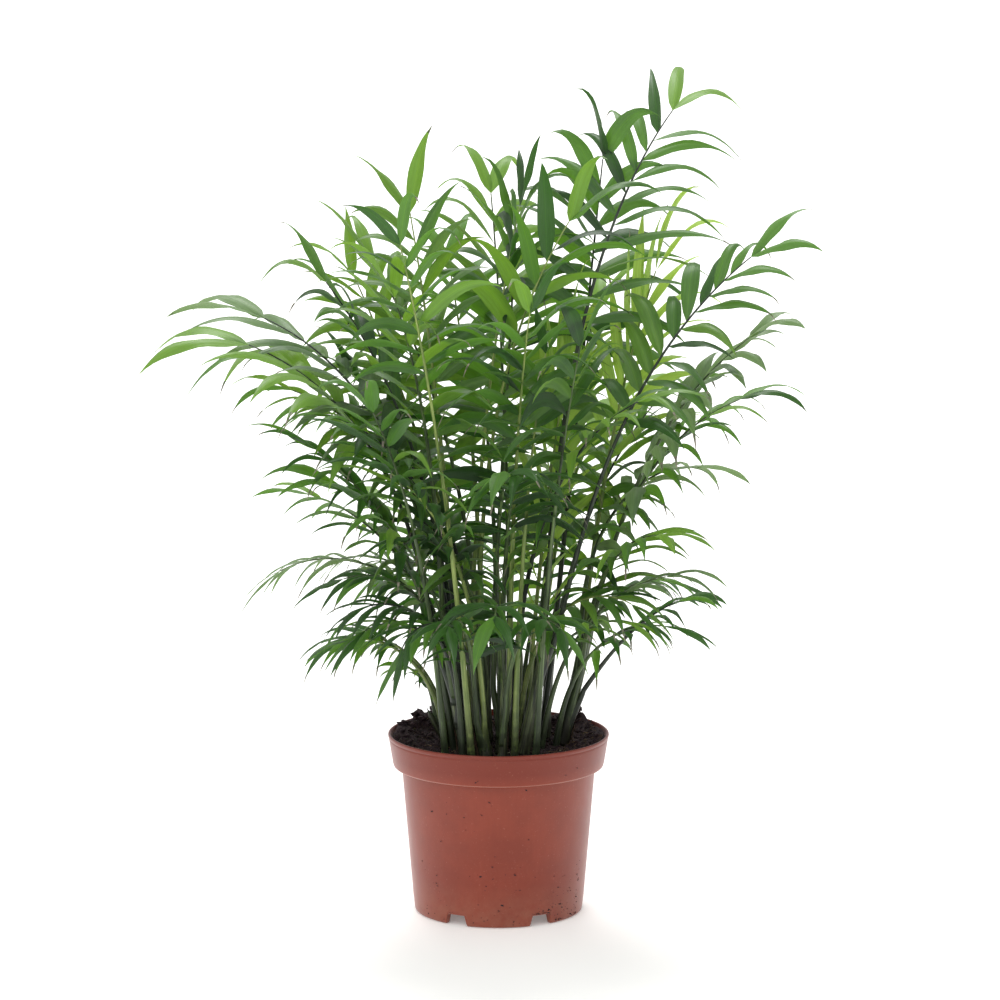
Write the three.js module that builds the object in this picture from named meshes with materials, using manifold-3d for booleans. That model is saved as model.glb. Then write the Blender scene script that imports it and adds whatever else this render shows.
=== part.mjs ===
// A parlour palm in its nursery pot: a clump of slim canes, each carrying several pinnate fronds.
// Millimetres and degrees. +Z is up, +X is right and -Y is the front. The origin is the centre of the
// pot's underside, on the surface that the pot stands on.

import * as THREE from 'three';
import { mergeVertices } from 'three/addons/utils/BufferGeometryUtils.js';
import Module from 'manifold-3d';

const wasm = await Module();
wasm.setup();

// ---- Driving dimensions ---------------------------------------------------------------------------

const GAP = 0.35; // left between neighbouring pieces

// The pot: a thin moulded tub with a deep collar, standing on a notched foot ring and a centre pad.
const POT_HEIGHT = 138;
const POT_WALL = 2;
const POT_SIDES = 36;
const RIM_RADIUS = 85;
const COLLAR_FOOT_RADIUS = 81;
const COLLAR_DEPTH = 25;
const BODY_TOP_RADIUS = 74.5;
const BODY_FOOT_RADIUS = 65;
const FLOOR_RISE = 9; // the floor between pad and foot ring stands this high, so that water can run out
const PAD_RADIUS = 36;
const FOOT_RING_RADIUS = 60.5; // its inner edge
const NOTCH_COUNT = 6;
const NOTCH_MOUTH = 19; // the width of each notch where the pot stands
const NOTCH_CEILING = 14; // and at its top
const NOTCH_HEIGHT = 8;
const DRAIN_RADIUS = 4.5;
const DRAIN_CIRCLE = 48;

// The peat that fills the pot.
const SOIL_LEVEL = 127; // where the canes stand
const SOIL_BANK = 5; // how far the loose lumps along the wall rise above it
const PLANTED_RADIUS = 62; // the level part that the canes stand in

// A cane: its foot flares a little just above the soil.
const CANE_SIDES = 8;
const CANE_LEVELS = [0, 0.08, 0.2, 0.6, 1]; // the shares of its height at which it has a ring
const FLARE = 1; // how much wider the foot is
const FLARE_REACH = 1 / 12; // the share of the height over which that goes down to a third

// A frond: a rib that leaves its cane and arches over, bare below and feathered with leaflets above.
const RIB_STEP = 32; // the rib's centre line is worked out in about such steps
const RIB_FOOT_RADIUS = 2.2;
const RIB_TIP_RADIUS = 1.3;
const ARCH_POWER = 1.7; // how late along the rib its bend comes
const LEAFLET_STEPS = 9;
const LEAFLET_WIDEST = 3; // the step at which a leaflet is widest
const LEAFLET_HALF_WIDTH = 0.078; // of the leaflet's length
const LEAFLET_THICKNESS = 1 / 65; // of the leaflet's length
const LEAFLET_SINK = 0.49; // how far past the rib's axis its root goes, of the rib's radius
const LEAFLET_SPACING = 0.22; // of the leaflet's length
const SWEEP_FOOT = 66; // the angle between leaflet and rib at the lowest pair
const SWEEP_TIP = 22; // and just under the tip
const SWEEP_END = 18; // the last pair, which ends the frond
const SWEEP_SPREAD = 10; // how far apart two leaflets of one place may differ in that angle
const FULLNESS_END = 0.72; // the length of the leaflets just under the tip, of the longest ones
const FULLNESS_LAST = 0.82; // the length of the last pair
const WIDTH_LAST = 1.12; // how much broader the last pair is
const LENGTH_SPREAD = 0.24; // how far apart two leaflets of one place may differ in length
const TWIST_SPREAD = 50; // and in the turn of their blades
const RISE_SPREAD = 0.25; // and in how far they rise from the frond's blade
const SKYWARD_LEAST = 0.15; // the share by which a blade at least turns its face to the sky
const SKYWARD_SPREAD = 0.85;
const DROOP_LEAST = 0.9; // how far the stiffest level leaflet's tip bends down, against one ahead
const DROOP_SPREAD = 1.2;
const DROOP_UPRIGHT = 0.55; // the share of that for an upright leaflet, which has less weight to bend it
const DROOP_POWER = 1.5; // how late along the leaflet its droop comes

// ---- Colours --------------------------------------------------------------------------------------

const TERRACOTTA = '#9a5b4f';
const PEAT = '#2b211b';
const CANE_GREEN = '#5d6f4c';
const LEAF_GREENS = ['#3f7a26', '#4d8a2a', '#35691f', '#5b9a30'];

// ---- The canes ------------------------------------------------------------------------------------

// x and y at the soil, the bearing and lean from upright, the height, and the radius at foot and top.
const CANES = [
  { x: -41, y: 12, bearing: 180, lean: 28, height: 30, foot: 2.6, top: 2.2 },
  { x: -33, y: 6, bearing: 180, lean: 13, height: 50, foot: 3.1, top: 2.6 },
  { x: -24, y: -34, bearing: 175, lean: 11, height: 108, foot: 4.9, top: 3.4 },
  { x: -10, y: -40, bearing: 180, lean: 7, height: 80, foot: 5.1, top: 3.5 },
  { x: 3, y: -44, bearing: 90, lean: 1, height: 60, foot: 3.2, top: 2.6 },
  { x: 2, y: -25, bearing: 90, lean: 2, height: 80, foot: 4.2, top: 3.2 },
  { x: 18, y: -34, bearing: 0, lean: 12, height: 115, foot: 5.0, top: 3.6 },
  { x: -9, y: 12, bearing: 120, lean: 3, height: 95, foot: 4.6, top: 3.3 },
  { x: 12, y: -6, bearing: 40, lean: 4, height: 90, foot: 4.6, top: 3.3 },
  { x: 26, y: 38, bearing: 30, lean: 3, height: 70, foot: 3.8, top: 3.0 },
  { x: 36, y: 24, bearing: 10, lean: 3, height: 80, foot: 4.0, top: 3.2 },
  { x: 48, y: 6, bearing: 0, lean: 14, height: 98, foot: 5.6, top: 3.6 },
  { x: -24, y: -9, bearing: 180, lean: 4, height: 95, foot: 4.4, top: 3.2 },
  { x: 3, y: 38, bearing: 80, lean: 5, height: 85, foot: 4.4, top: 3.2 },
];

// ---- The fronds -----------------------------------------------------------------------------------

// The fronds that give the crown its outline. Each leaves cane number `cane` at the share `at` of its
// height, heads for `bearing`, starts at `lean` from upright and has bent by `bend` more at its tip.
// It is bare of leaflets for the share `bare` of its length; `leaf` is the length of its longest
// leaflets and `roll` turns its blade about the rib. `opening` is under 1 for a young frond, whose
// leaflets are still narrow and close to the rib.
const LEADING_FRONDS = [
  { cane: 3, at: 0.62, bearing: 157, lean: 9, bend: 61, length: 322, bare: 0.52, leaf: 98, roll: 0 },
  { cane: 3, at: 0.8, bearing: 173, lean: 10, bend: 60, length: 282, bare: 0.5, leaf: 108, roll: 0 },
  { cane: 3, at: 0.65, bearing: 205, lean: 2, bend: 70, length: 240, bare: 0.58, leaf: 64, roll: 0 },
  { cane: 4, at: 0.97, bearing: 215, lean: 3, bend: 82, length: 130, bare: 0.35, leaf: 52, roll: 0 },
  { cane: 2, at: 0.9, bearing: 153, lean: 4, bend: 106, length: 150, bare: 0.4, leaf: 46, roll: 0 },
  { cane: 4, at: 0.7, bearing: 223, lean: 12, bend: 140, length: 110, bare: 0.3, leaf: 52, roll: 0 },
  { cane: 1, at: 0.9, bearing: 200, lean: 8, bend: 70, length: 48, bare: 0.35, leaf: 30, roll: 0 },
  { cane: 13, at: 0.97, bearing: 152, lean: 5, bend: 6, length: 320, bare: 0.42, leaf: 76, roll: -60 },
  { cane: 8, at: 0.97, bearing: 156, lean: 18, bend: 9, length: 285, bare: 0.5, leaf: 72, roll: -40 },
  { cane: 8, at: 0.8, bearing: 48, lean: 5, bend: 0, length: 320, bare: 0.5, leaf: 90, roll: 50 },
  { cane: 4, at: 0.9, bearing: -19, lean: 0, bend: 32, length: 350, bare: 0.42, leaf: 96, roll: -50 },
  { cane: 7, at: 0.97, bearing: 52, lean: 6, bend: 47, length: 418, bare: 0.52, leaf: 92, roll: 25 },
  { cane: 11, at: 0.97, bearing: 44, lean: 8, bend: 0, length: 372, bare: 0.58, leaf: 84, roll: 60 },
  {
    cane: 12, at: 0.9, bearing: 36, lean: 9, bend: 14, length: 285, bare: 0.45, leaf: 96, roll: 70,
    opening: 0.45,
  },
  { cane: 7, at: 0.9, bearing: 0, lean: 13, bend: 38, length: 320, bare: 0.5, leaf: 74, roll: 40 },
  { cane: 12, at: 0.97, bearing: -14, lean: 14, bend: 38, length: 262, bare: 0.42, leaf: 70, roll: 15 },
  { cane: 12, at: 0.8, bearing: 28, lean: 2, bend: 92, length: 185, bare: 0.4, leaf: 60, roll: 0 },
  { cane: 12, at: 0.7, bearing: -52, lean: 10, bend: 73, length: 160, bare: 0.4, leaf: 64, roll: 0 },
  { cane: 12, at: 0.45, bearing: -15, lean: 34, bend: 30, length: 105, bare: 0.5, leaf: 50, roll: 0 },
  { cane: 6, at: 0.7, bearing: -92, lean: 30, bend: 76, length: 150, bare: 0.42, leaf: 72, roll: 0 },
  { cane: 6, at: 0.97, bearing: -83, lean: 11, bend: 63, length: 195, bare: 0.45, leaf: 64, roll: 0 },
  { cane: 3, at: 0.45, bearing: 195, lean: 10, bend: 110, length: 125, bare: 0.3, leaf: 50, roll: 0 },
  { cane: 13, at: 0.5, bearing: 188, lean: 8, bend: 100, length: 140, bare: 0.35, leaf: 52, roll: 0 },
  { cane: 5, at: 0.8, bearing: -60, lean: 14, bend: 100, length: 120, bare: 0.35, leaf: 56, roll: 0 },
];

// The fronds that fill the crown, in rings that go round by `step`: upright ones at its heart, but not
// on the right, where the young frond stands, then arching ones and low ones all round.
const FILLING_RINGS = [
  { count: 6, first: 60, step: 44, length: 300, lean: 5, bend: 28, at: 0.95, bare: 0.38, leaf: 84 },
  { count: 8, first: 0, step: 45, length: 245, lean: 6, bend: 62, at: 0.85, bare: 0.28, leaf: 72 },
  { count: 6, first: 25, step: 60, length: 135, lean: 10, bend: 95, at: 0.6, bare: 0.32, leaf: 54 },
];
const FIRST_FILLING_CANE = 3; // the two young canes at the left carry one frond each

// When a frond would run into another, it is moved by these steps, the smallest first.
const BEARING_STEPS = [0, 3, -3, 6, -6, 9, -9, 12, -12, 16, -16, 20, -20, 25, -25, 30, -30];
const SLOT_STEPS = [0, 50, -50, 100, -100];
const DROP_STEPS = [0, 0.1, 0.2];
const CHECK_SPACING = 3; // between the points at which two stems are compared
const CHECK_MARGIN = 1; // covers that spacing as well as the gap

// When a leaflet would touch another piece, it is turned, lifted or shortened by these steps.
const LEAFLET_TRIES = [
  { sweep: 0, lift: 0, share: 1 },
  { sweep: 7, lift: 0.1, share: 1 },
  { sweep: -7, lift: -0.1, share: 1 },
  { sweep: 0, lift: 0.3, share: 1 },
  { sweep: 0, lift: -0.3, share: 1 },
  { sweep: 15, lift: 0.15, share: 0.95 },
  { sweep: -15, lift: -0.15, share: 0.95 },
  { sweep: 0, lift: 0.5, share: 0.85 },
  { sweep: 0, lift: -0.5, share: 0.85 },
  { sweep: 10, lift: 0.3, share: 0.7 },
  { sweep: -10, lift: -0.3, share: 0.7 },
  { sweep: 0, lift: 0, share: 0.55 },
];

// ---- Small helpers --------------------------------------------------------------------------------

const UP = new THREE.Vector3(0, 0, 1);
const radians = THREE.MathUtils.degToRad;
const mix = THREE.MathUtils.lerp;

// A repeatable number between 0 and 1 for any seed.
function noise(seed) {
  const value = Math.sin(seed * 12.9898 + 4.137) * 43758.5453;
  return value - Math.floor(value);
}

// The unit vector that leans from upright towards a bearing.
function heading(bearing, lean) {
  const out = Math.sin(radians(lean));
  const [turn, rise] = [radians(bearing), Math.cos(radians(lean))];
  return new THREE.Vector3(out * Math.cos(turn), out * Math.sin(turn), rise);
}

// A closed skin over rings of points that run anticlockwise about the way ahead. A ring of one point
// is a tip, and a ring at an end is closed flat.
function loft(rings) {
  const points = rings.flat();
  const triangles = [];
  let start = 0;
  for (let i = 0; i + 1 < rings.length; i += 1) {
    const next = start + rings[i].length;
    const sides = Math.max(rings[i].length, rings[i + 1].length);
    for (let j = 0; j < sides; j += 1) {
      const k = (j + 1) % sides;
      const near = (side) => start + (rings[i].length > 1 ? side : 0);
      const far = (side) => next + (rings[i + 1].length > 1 ? side : 0);
      if (rings[i].length > 1) triangles.push(near(j), near(k), far(j));
      if (rings[i + 1].length > 1) triangles.push(near(k), far(k), far(j));
    }
    start = next;
  }
  for (let j = 1; j + 1 < rings[0].length; j += 1) triangles.push(0, j + 1, j);
  for (let j = 1; j + 1 < rings.at(-1).length; j += 1) triangles.push(start, start + j, start + j + 1);
  const geometry = new THREE.BufferGeometry().setFromPoints(points);
  return geometry.setIndex(triangles);
}

// A closed mesh as a solid that can be joined and cut. Triangles that merging has flattened go.
function toSolid(source) {
  const bare = source.clone();
  bare.deleteAttribute('normal');
  bare.deleteAttribute('uv');
  const merged = mergeVertices(bare, 1e-4);
  const index = merged.index.array;
  const kept = [];
  for (let i = 0; i < index.length; i += 3) {
    const [a, b, c] = [index[i], index[i + 1], index[i + 2]];
    if (a !== b && b !== c && c !== a) kept.push(a, b, c);
  }
  const vertProperties = new Float32Array(merged.attributes.position.array);
  const mesh = new wasm.Mesh({ numProp: 3, vertProperties, triVerts: new Uint32Array(kept) });
  return new wasm.Manifold(mesh);
}

// The mesh of a solid, for the scene graph.
function toGeometry(solid) {
  const mesh = solid.getMesh();
  const geometry = new THREE.BufferGeometry();
  geometry.setAttribute('position', new THREE.BufferAttribute(mesh.vertProperties, 3));
  geometry.setIndex(new THREE.BufferAttribute(mesh.triVerts, 1));
  geometry.computeVertexNormals();
  return geometry;
}

// A profile of [radius, height] pairs turned about the upright axis.
function turned(profile, sides) {
  const outline = profile.map(([radius, height]) => new THREE.Vector2(radius, height));
  return new THREE.LatheGeometry(outline, sides).rotateX(Math.PI / 2);
}

// ---- The pot and its peat -------------------------------------------------------------------------

// The outside of the pot's wall at a height, below the collar.
function bodyRadius(height) {
  return mix(BODY_FOOT_RADIUS, BODY_TOP_RADIUS, height / (POT_HEIGHT - COLLAR_DEPTH));
}

function potShell() {
  const shoulder = POT_HEIGHT - COLLAR_DEPTH;
  const raised = FLOOR_RISE + POT_WALL;
  const slope = 4; // how far the floor's steps lean
  return turned([
    [0, 0],
    [PAD_RADIUS, 0],
    [PAD_RADIUS + slope, FLOOR_RISE],
    [FOOT_RING_RADIUS - slope / 2, FLOOR_RISE],
    [FOOT_RING_RADIUS, 0],
    [BODY_FOOT_RADIUS - 3, 0],
    [BODY_FOOT_RADIUS - 0.8, 1.2],
    [bodyRadius(4), 4],
    [bodyRadius(shoulder - 2), shoulder - 2],
    [COLLAR_FOOT_RADIUS - 1.5, shoulder],
    [COLLAR_FOOT_RADIUS, shoulder + 1.5],
    [RIM_RADIUS - 0.6, POT_HEIGHT - 2],
    [RIM_RADIUS, POT_HEIGHT - 1],
    [RIM_RADIUS - 0.6, POT_HEIGHT],
    [RIM_RADIUS - 1.6, POT_HEIGHT],
    [RIM_RADIUS - 1.6 - POT_WALL / 2, POT_HEIGHT - 1.5],
    [COLLAR_FOOT_RADIUS - POT_WALL, shoulder + POT_WALL + 1],
    [bodyRadius(shoulder) - POT_WALL, shoulder],
    [bodyRadius(raised) - POT_WALL, raised],
    [PAD_RADIUS + slope - 1, raised],
    [PAD_RADIUS - 1, POT_WALL],
    [0, POT_WALL],
  ], POT_SIDES);
}

// A cutter through the foot ring, along the radius at an angle. It narrows from mouth to ceiling.
function notchCutter(angle) {
  const below = 1; // how far the cutter starts under the pot
  const slant = (NOTCH_MOUTH - NOTCH_CEILING) / 2 / NOTCH_HEIGHT;
  const [low, high] = [NOTCH_MOUTH / 2 + slant * below, NOTCH_CEILING / 2];
  const outline = [[-low, -below], [low, -below], [high, NOTCH_HEIGHT], [-high, NOTCH_HEIGHT]];
  const ring = (radius) => outline.map(([across, height]) => {
    return new THREE.Vector3(radius, across, height).applyAxisAngle(UP, radians(angle));
  });
  return loft([ring(FOOT_RING_RADIUS - 4), ring(RIM_RADIUS)]);
}

// An upright cutter for a drain hole through the raised floor behind a notch.
function drainCutter(angle) {
  const hole = new THREE.CylinderGeometry(DRAIN_RADIUS, DRAIN_RADIUS, 3 * POT_WALL, 12);
  const [x, y] = [DRAIN_CIRCLE * Math.cos(radians(angle)), DRAIN_CIRCLE * Math.sin(radians(angle))];
  return hole.rotateX(Math.PI / 2).translate(x, y, FLOOR_RISE + POT_WALL / 2);
}

function potSolid() {
  let pot = toSolid(potShell());
  for (let i = 0; i < NOTCH_COUNT; i += 1) {
    const angle = (i * 360) / NOTCH_COUNT;
    pot = pot.subtract(toSolid(notchCutter(angle)));
    pot = pot.subtract(toSolid(drainCutter(angle)));
  }
  return pot;
}

// The peat fills the pot from the floor up, level where the canes stand and lumpy along the wall.
function soilSolid() {
  const raised = FLOOR_RISE + POT_WALL + GAP;
  const shoulder = POT_HEIGHT - COLLAR_DEPTH;
  const inside = (height) => bodyRadius(height) - POT_WALL - GAP;
  const wallTop = COLLAR_FOOT_RADIUS + 1.2 - POT_WALL - GAP;
  const geometry = turned([
    [0, POT_WALL + GAP],
    [PAD_RADIUS - 1.5, POT_WALL + GAP],
    [PAD_RADIUS + 2.5, raised],
    [inside(raised), raised],
    [inside(shoulder), shoulder + 0.5],
    [wallTop - 1.5, shoulder + POT_WALL + 3],
    [wallTop, SOIL_LEVEL],
    [mix(PLANTED_RADIUS, wallTop, 0.75), SOIL_LEVEL + 0.5],
    [mix(PLANTED_RADIUS, wallTop, 0.4), SOIL_LEVEL + 0.3],
    [PLANTED_RADIUS, SOIL_LEVEL],
    [0, SOIL_LEVEL],
  ], POT_SIDES);
  const position = geometry.attributes.position;
  for (let i = 0; i < position.count; i += 1) {
    if (position.getZ(i) <= SOIL_LEVEL + 0.1) continue;
    const turn = Math.atan2(position.getY(i), position.getX(i)) / (2 * Math.PI);
    const seat = (Math.round(turn * POT_SIDES) + POT_SIDES) % POT_SIDES;
    position.setZ(i, SOIL_LEVEL + SOIL_BANK * noise(seat + position.getZ(i)));
  }
  return toSolid(geometry);
}

// ---- The canes ------------------------------------------------------------------------------------

function caneFoot(cane) {
  return new THREE.Vector3(cane.x, cane.y, SOIL_LEVEL + GAP);
}

function canePoint(cane, share) {
  return caneFoot(cane).addScaledVector(heading(cane.bearing, cane.lean), cane.height * share);
}

function caneRadius(cane, share) {
  return mix(cane.foot, cane.top, share) + FLARE * Math.exp(-share / FLARE_REACH);
}

// Level rings round the leaning axis, so that the foot is cut flat at the soil.
function caneGeometry(cane) {
  const rings = CANE_LEVELS.map((share) => {
    const centre = canePoint(cane, share);
    const radius = caneRadius(cane, share);
    return Array.from({ length: CANE_SIDES }, (_, side) => {
      const turn = (side / CANE_SIDES) * 2 * Math.PI;
      return new THREE.Vector3(radius * Math.cos(turn), radius * Math.sin(turn), 0).add(centre);
    });
  });
  return loft(rings);
}

// ---- Where the fronds run -------------------------------------------------------------------------

// Every frond of the crown: the leading ones, then the rings that fill it.
function allFronds() {
  const fronds = LEADING_FRONDS.map((frond) => ({ opening: 1, ...frond }));
  for (const ring of FILLING_RINGS) {
    for (let i = 0; i < ring.count; i += 1) {
      const seed = fronds.length + 1;
      const bearing = ring.first + i * ring.step + 20 * (noise(seed) - 0.5);
      fronds.push({
        cane: nearestCane(bearing),
        at: ring.at * (0.75 + 0.25 * noise(seed + 0.1)),
        bearing,
        lean: ring.lean + 4 * noise(seed + 0.2),
        bend: ring.bend * (0.85 + 0.3 * noise(seed + 0.3)),
        length: ring.length * (0.9 + 0.2 * noise(seed + 0.4)),
        bare: ring.bare,
        leaf: ring.leaf,
        roll: 40 * (noise(seed + 0.5) - 0.5),
        opening: 1,
      });
    }
  }
  return fronds;
}

// The number of the cane that stands best for a bearing, with some chance in the choice.
function nearestCane(bearing) {
  let best = FIRST_FILLING_CANE;
  let least = Infinity;
  for (let number = FIRST_FILLING_CANE; number <= CANES.length; number += 1) {
    const { x, y } = CANES[number - 1];
    const away = THREE.MathUtils.radToDeg(Math.atan2(y, x)) - bearing;
    const turn = Math.abs(THREE.MathUtils.euclideanModulo(away + 180, 360) - 180);
    const cost = turn + 40 * noise(number + bearing);
    if (cost < least) [best, least] = [number, cost];
  }
  return best;
}

function ribRadius(share) {
  return mix(RIB_FOOT_RADIUS, RIB_TIP_RADIUS, share ** 0.8);
}

// The rib's centre line. Its tilt from upright grows from lean to lean + bend.
function ribPath(start, frond, bearing) {
  const points = [start];
  const steps = Math.max(4, Math.round(frond.length / RIB_STEP));
  for (let i = 0; i < steps; i += 1) {
    const tilt = frond.lean + frond.bend * ((i + 0.5) / steps) ** ARCH_POWER;
    points.push(points[i].clone().addScaledVector(heading(bearing, tilt), frond.length / steps));
  }
  return points;
}

// Points along a path at a small spacing, each with the stem's radius there.
function beads(path, radiusAt) {
  const list = [];
  const span = path.length - 1;
  for (let i = 0; i < span; i += 1) {
    const pieces = Math.ceil(path[i].distanceTo(path[i + 1]) / CHECK_SPACING);
    for (let j = 0; j < pieces; j += 1) {
      const point = path[i].clone().lerp(path[i + 1], j / pieces);
      list.push({ point, radius: radiusAt((i + j / pieces) / span) });
    }
  }
  list.push({ point: path[span], radius: radiusAt(1) });
  return list;
}

function isClear(mine, others) {
  return others.every((other) => mine.every((bead) => other.every((rival) => {
    const least = bead.radius + rival.radius + CHECK_MARGIN;
    return bead.point.distanceToSquared(rival.point) > least * least;
  })));
}

// Where a frond leaves its cane: beside it, on the side that the rib then moves off to.
function ribStart(cane, share, frond, bearing, slot) {
  const away = heading(bearing, frond.lean).sub(heading(cane.bearing, cane.lean)).setZ(0);
  const side = away.length() > 0.02 ? Math.atan2(away.y, away.x) : radians(bearing);
  const offset = caneRadius(cane, share) + RIB_FOOT_RADIUS + GAP;
  const [x, y] = [Math.cos(side + radians(slot)) * offset, Math.sin(side + radians(slot)) * offset];
  return canePoint(cane, share).add(new THREE.Vector3(x, y, 0));
}

// The first way of placing a frond that keeps its rib clear of everything placed so far.
function placeRib(frond, canes, placed) {
  const cane = CANES[frond.cane - 1];
  const others = canes.filter((_, i) => i !== frond.cane - 1).concat(placed);
  for (const turn of BEARING_STEPS) {
    for (const drop of DROP_STEPS) {
      for (const slot of SLOT_STEPS) {
        const bearing = frond.bearing + turn;
        const start = ribStart(cane, frond.at - drop, frond, bearing, slot);
        const path = ribPath(start, frond, bearing);
        const mine = beads(path, ribRadius);
        if (isClear(mine, others)) return { ...frond, bearing, path, beads: mine };
      }
    }
  }
  return null;
}

function placeRibs() {
  const canes = CANES.map((cane) => {
    const ends = [canePoint(cane, 0), canePoint(cane, 1)];
    return beads(ends, (share) => caneRadius(cane, share));
  });
  const placed = [];
  for (const [i, frond] of allFronds().entries()) {
    const rib = placeRib(frond, canes, placed.map((other) => other.beads));
    if (rib) placed.push({ ...rib, number: i + 1 });
  }
  return placed;
}

// ---- The fronds' solids ---------------------------------------------------------------------------

// A point of the rib with the directions along it, across its blade and out of its upper face.
function ribFrame(rib, share) {
  const steps = rib.path.length - 1;
  const at = Math.min(share * steps, steps - 1e-6);
  const [i, part] = [Math.floor(at), at % 1];
  const point = rib.path[i].clone().lerp(rib.path[i + 1], part);
  const tilt = rib.lean + rib.bend * share ** ARCH_POWER;
  const along = heading(rib.bearing, tilt);
  const level = heading(rib.bearing + 90, 90);
  const upper = along.clone().cross(level);
  const turn = radians(rib.roll);
  const across = level.multiplyScalar(Math.cos(turn)).addScaledVector(upper, Math.sin(turn));
  return { point, along, across, out: along.clone().cross(across) };
}

// The rib itself, three-sided, with an edge on top and a flat face towards each row of leaflets.
function ribGeometry(rib) {
  const rings = rib.path.map((centre, i) => {
    const share = i / (rib.path.length - 1);
    const { across, out } = ribFrame(rib, share);
    return [0, 1, 2].map((side) => {
      const turn = radians(90 + side * 120);
      const offset = across.clone().multiplyScalar(Math.cos(turn)).addScaledVector(out, Math.sin(turn));
      return offset.multiplyScalar(ribRadius(share)).add(centre);
    });
  });
  return loft(rings);
}

// How long a leaflet is at a share of the leafy part, of the frond's longest ones.
function fullness(share) {
  const swell = Math.sin(Math.PI * Math.min(1, 0.25 + 0.75 * share));
  return mix(FULLNESS_END, 1, swell);
}

// One leaflet's centre line: it starts at an angle to the rib and droops more and more.
function leafletPath(rib, pair, pairs, side, attempt) {
  const last = pair === pairs - 1;
  const share = last ? 1 : (pair + 0.5 + 0.22 * side) / pairs;
  const ribShare = mix(rib.bare, 1, share);
  const frame = ribFrame(rib, ribShare);
  const seed = rib.number * 100 + pair * 2 + (side > 0 ? 1 : 0);
  const spread = (last ? SWEEP_END : mix(SWEEP_FOOT, SWEEP_TIP, share)) + SWEEP_SPREAD * (noise(seed) - 0.5);
  const sweep = radians(rib.opening * spread + attempt.sweep);
  const chance = 1 + LENGTH_SPREAD * (noise(seed + 0.3) - 0.5);
  const length = rib.leaf * (last ? FULLNESS_LAST : fullness(share)) * chance * attempt.share;
  const first = frame.along.clone().multiplyScalar(Math.cos(sweep))
    .addScaledVector(frame.across, side * Math.sin(sweep))
    .addScaledVector(frame.out, RISE_SPREAD * (noise(seed + 0.7) - 0.1) + attempt.lift)
    .normalize();
  const weight = mix(DROOP_UPRIGHT, 1, Math.hypot(first.x, first.y));
  const droop = (DROOP_LEAST + DROOP_SPREAD * noise(seed + 0.5)) * weight;
  const points = [frame.point];
  for (let i = 0; i < LEAFLET_STEPS; i += 1) {
    const fall = droop * ((i + 0.5) / LEAFLET_STEPS) ** DROOP_POWER;
    const ahead = first.clone().addScaledVector(UP, -fall).normalize();
    points.push(points[i].clone().addScaledVector(ahead, length / LEAFLET_STEPS));
  }
  const flat = frame.along.clone().addScaledVector(first, -frame.along.dot(first)).normalize();
  const twist = radians(TWIST_SPREAD * (noise(seed + 0.9) - 0.5));
  const wide = flat.clone().multiplyScalar(Math.cos(twist))
    .addScaledVector(first.clone().cross(flat), Math.sin(twist));
  const level = UP.clone().cross(first);
  level.multiplyScalar(Math.sign(level.dot(wide)));
  wide.lerp(level, SKYWARD_LEAST + SKYWARD_SPREAD * noise(seed + 0.15)).normalize();
  const foot = frame.point.clone().addScaledVector(first, -LEAFLET_SINK * ribRadius(ribShare));
  const width = LEAFLET_HALF_WIDTH * length * (last ? WIDTH_LAST : 1) * rib.opening;
  return { points, foot, wide, width, thickness: LEAFLET_THICKNESS * length };
}

// Where a leaflet is widest, with the directions ahead, across its blade and out of its upper face.
function leafletFrame({ points, wide }) {
  const middle = points[LEAFLET_WIDEST];
  const ahead = points[LEAFLET_WIDEST + 1].clone().sub(middle).normalize();
  const across = wide.clone().addScaledVector(ahead, -wide.dot(ahead)).normalize();
  return { middle, across, out: ahead.clone().cross(across) };
}

// A ring round a centre, from its corners as steps across and out.
function ringOf(corners, centre, { across, out }) {
  return corners.map(([wide, high]) => {
    return centre.clone().addScaledVector(across, wide).addScaledVector(out, high);
  });
}

// A keeled leaflet of six faces: a root sunk in the rib, two edges and a keel at its widest, and a tip.
function leafletSolid(leaflet) {
  const frame = leafletFrame(leaflet);
  const [wide, high] = [leaflet.width, leaflet.thickness / 2];
  const widest = ringOf([[wide, -high], [0, high], [-wide, -high]], frame.middle, frame);
  return toSolid(loft([[leaflet.foot], widest, [leaflet.points.at(-1)]]));
}

// The room that a leaflet needs: a four-sided sleeve that clears it by the gap all round.
function leafletRoom(leaflet) {
  const frame = leafletFrame(leaflet);
  const sleeve = (centre, width, thickness) => {
    const [wide, high] = [width + GAP, thickness / 2 + GAP];
    return ringOf([[wide, -high], [wide, high], [-wide, high], [-wide, -high]], centre, frame);
  };
  return toSolid(loft([
    sleeve(leaflet.foot, 0, 0),
    sleeve(frame.middle, leaflet.width, leaflet.thickness),
    sleeve(leaflet.points.at(-1), 0, 0),
  ]));
}

function touches(solid, others) {
  const box = solid.boundingBox();
  return others.some((other) => {
    const apart = [0, 1, 2].some((k) => box.min[k] > other.box.max[k] || box.max[k] < other.box.min[k]);
    return !apart && solid.intersect(other.solid).getMesh().triVerts.length > 0;
  });
}

// The leaflets of every frond, each in the first way that keeps it off all the other nodes.
function growLeaflets(ribs, canes) {
  const placed = [...canes];
  for (const { number, solid } of ribs) placed.push({ node: number, solid, box: solid.boundingBox() });
  for (const rib of ribs) {
    const pairs = Math.round(((1 - rib.bare) * rib.length) / (LEAFLET_SPACING * rib.leaf));
    for (let i = 0; i < pairs * 2; i += 1) {
      const [pair, side] = [Math.floor(i / 2), i % 2 === 0 ? 1 : -1];
      const others = placed.filter((piece) => piece.node !== rib.number);
      for (const attempt of LEAFLET_TRIES) {
        const leaflet = leafletPath(rib, pair, pairs, side, attempt);
        if (touches(leafletRoom(leaflet), others)) continue;
        const solid = leafletSolid(leaflet);
        placed.push({ node: rib.number, solid, box: solid.boundingBox() });
        rib.leaflets.push(solid);
        break;
      }
    }
  }
}

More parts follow.
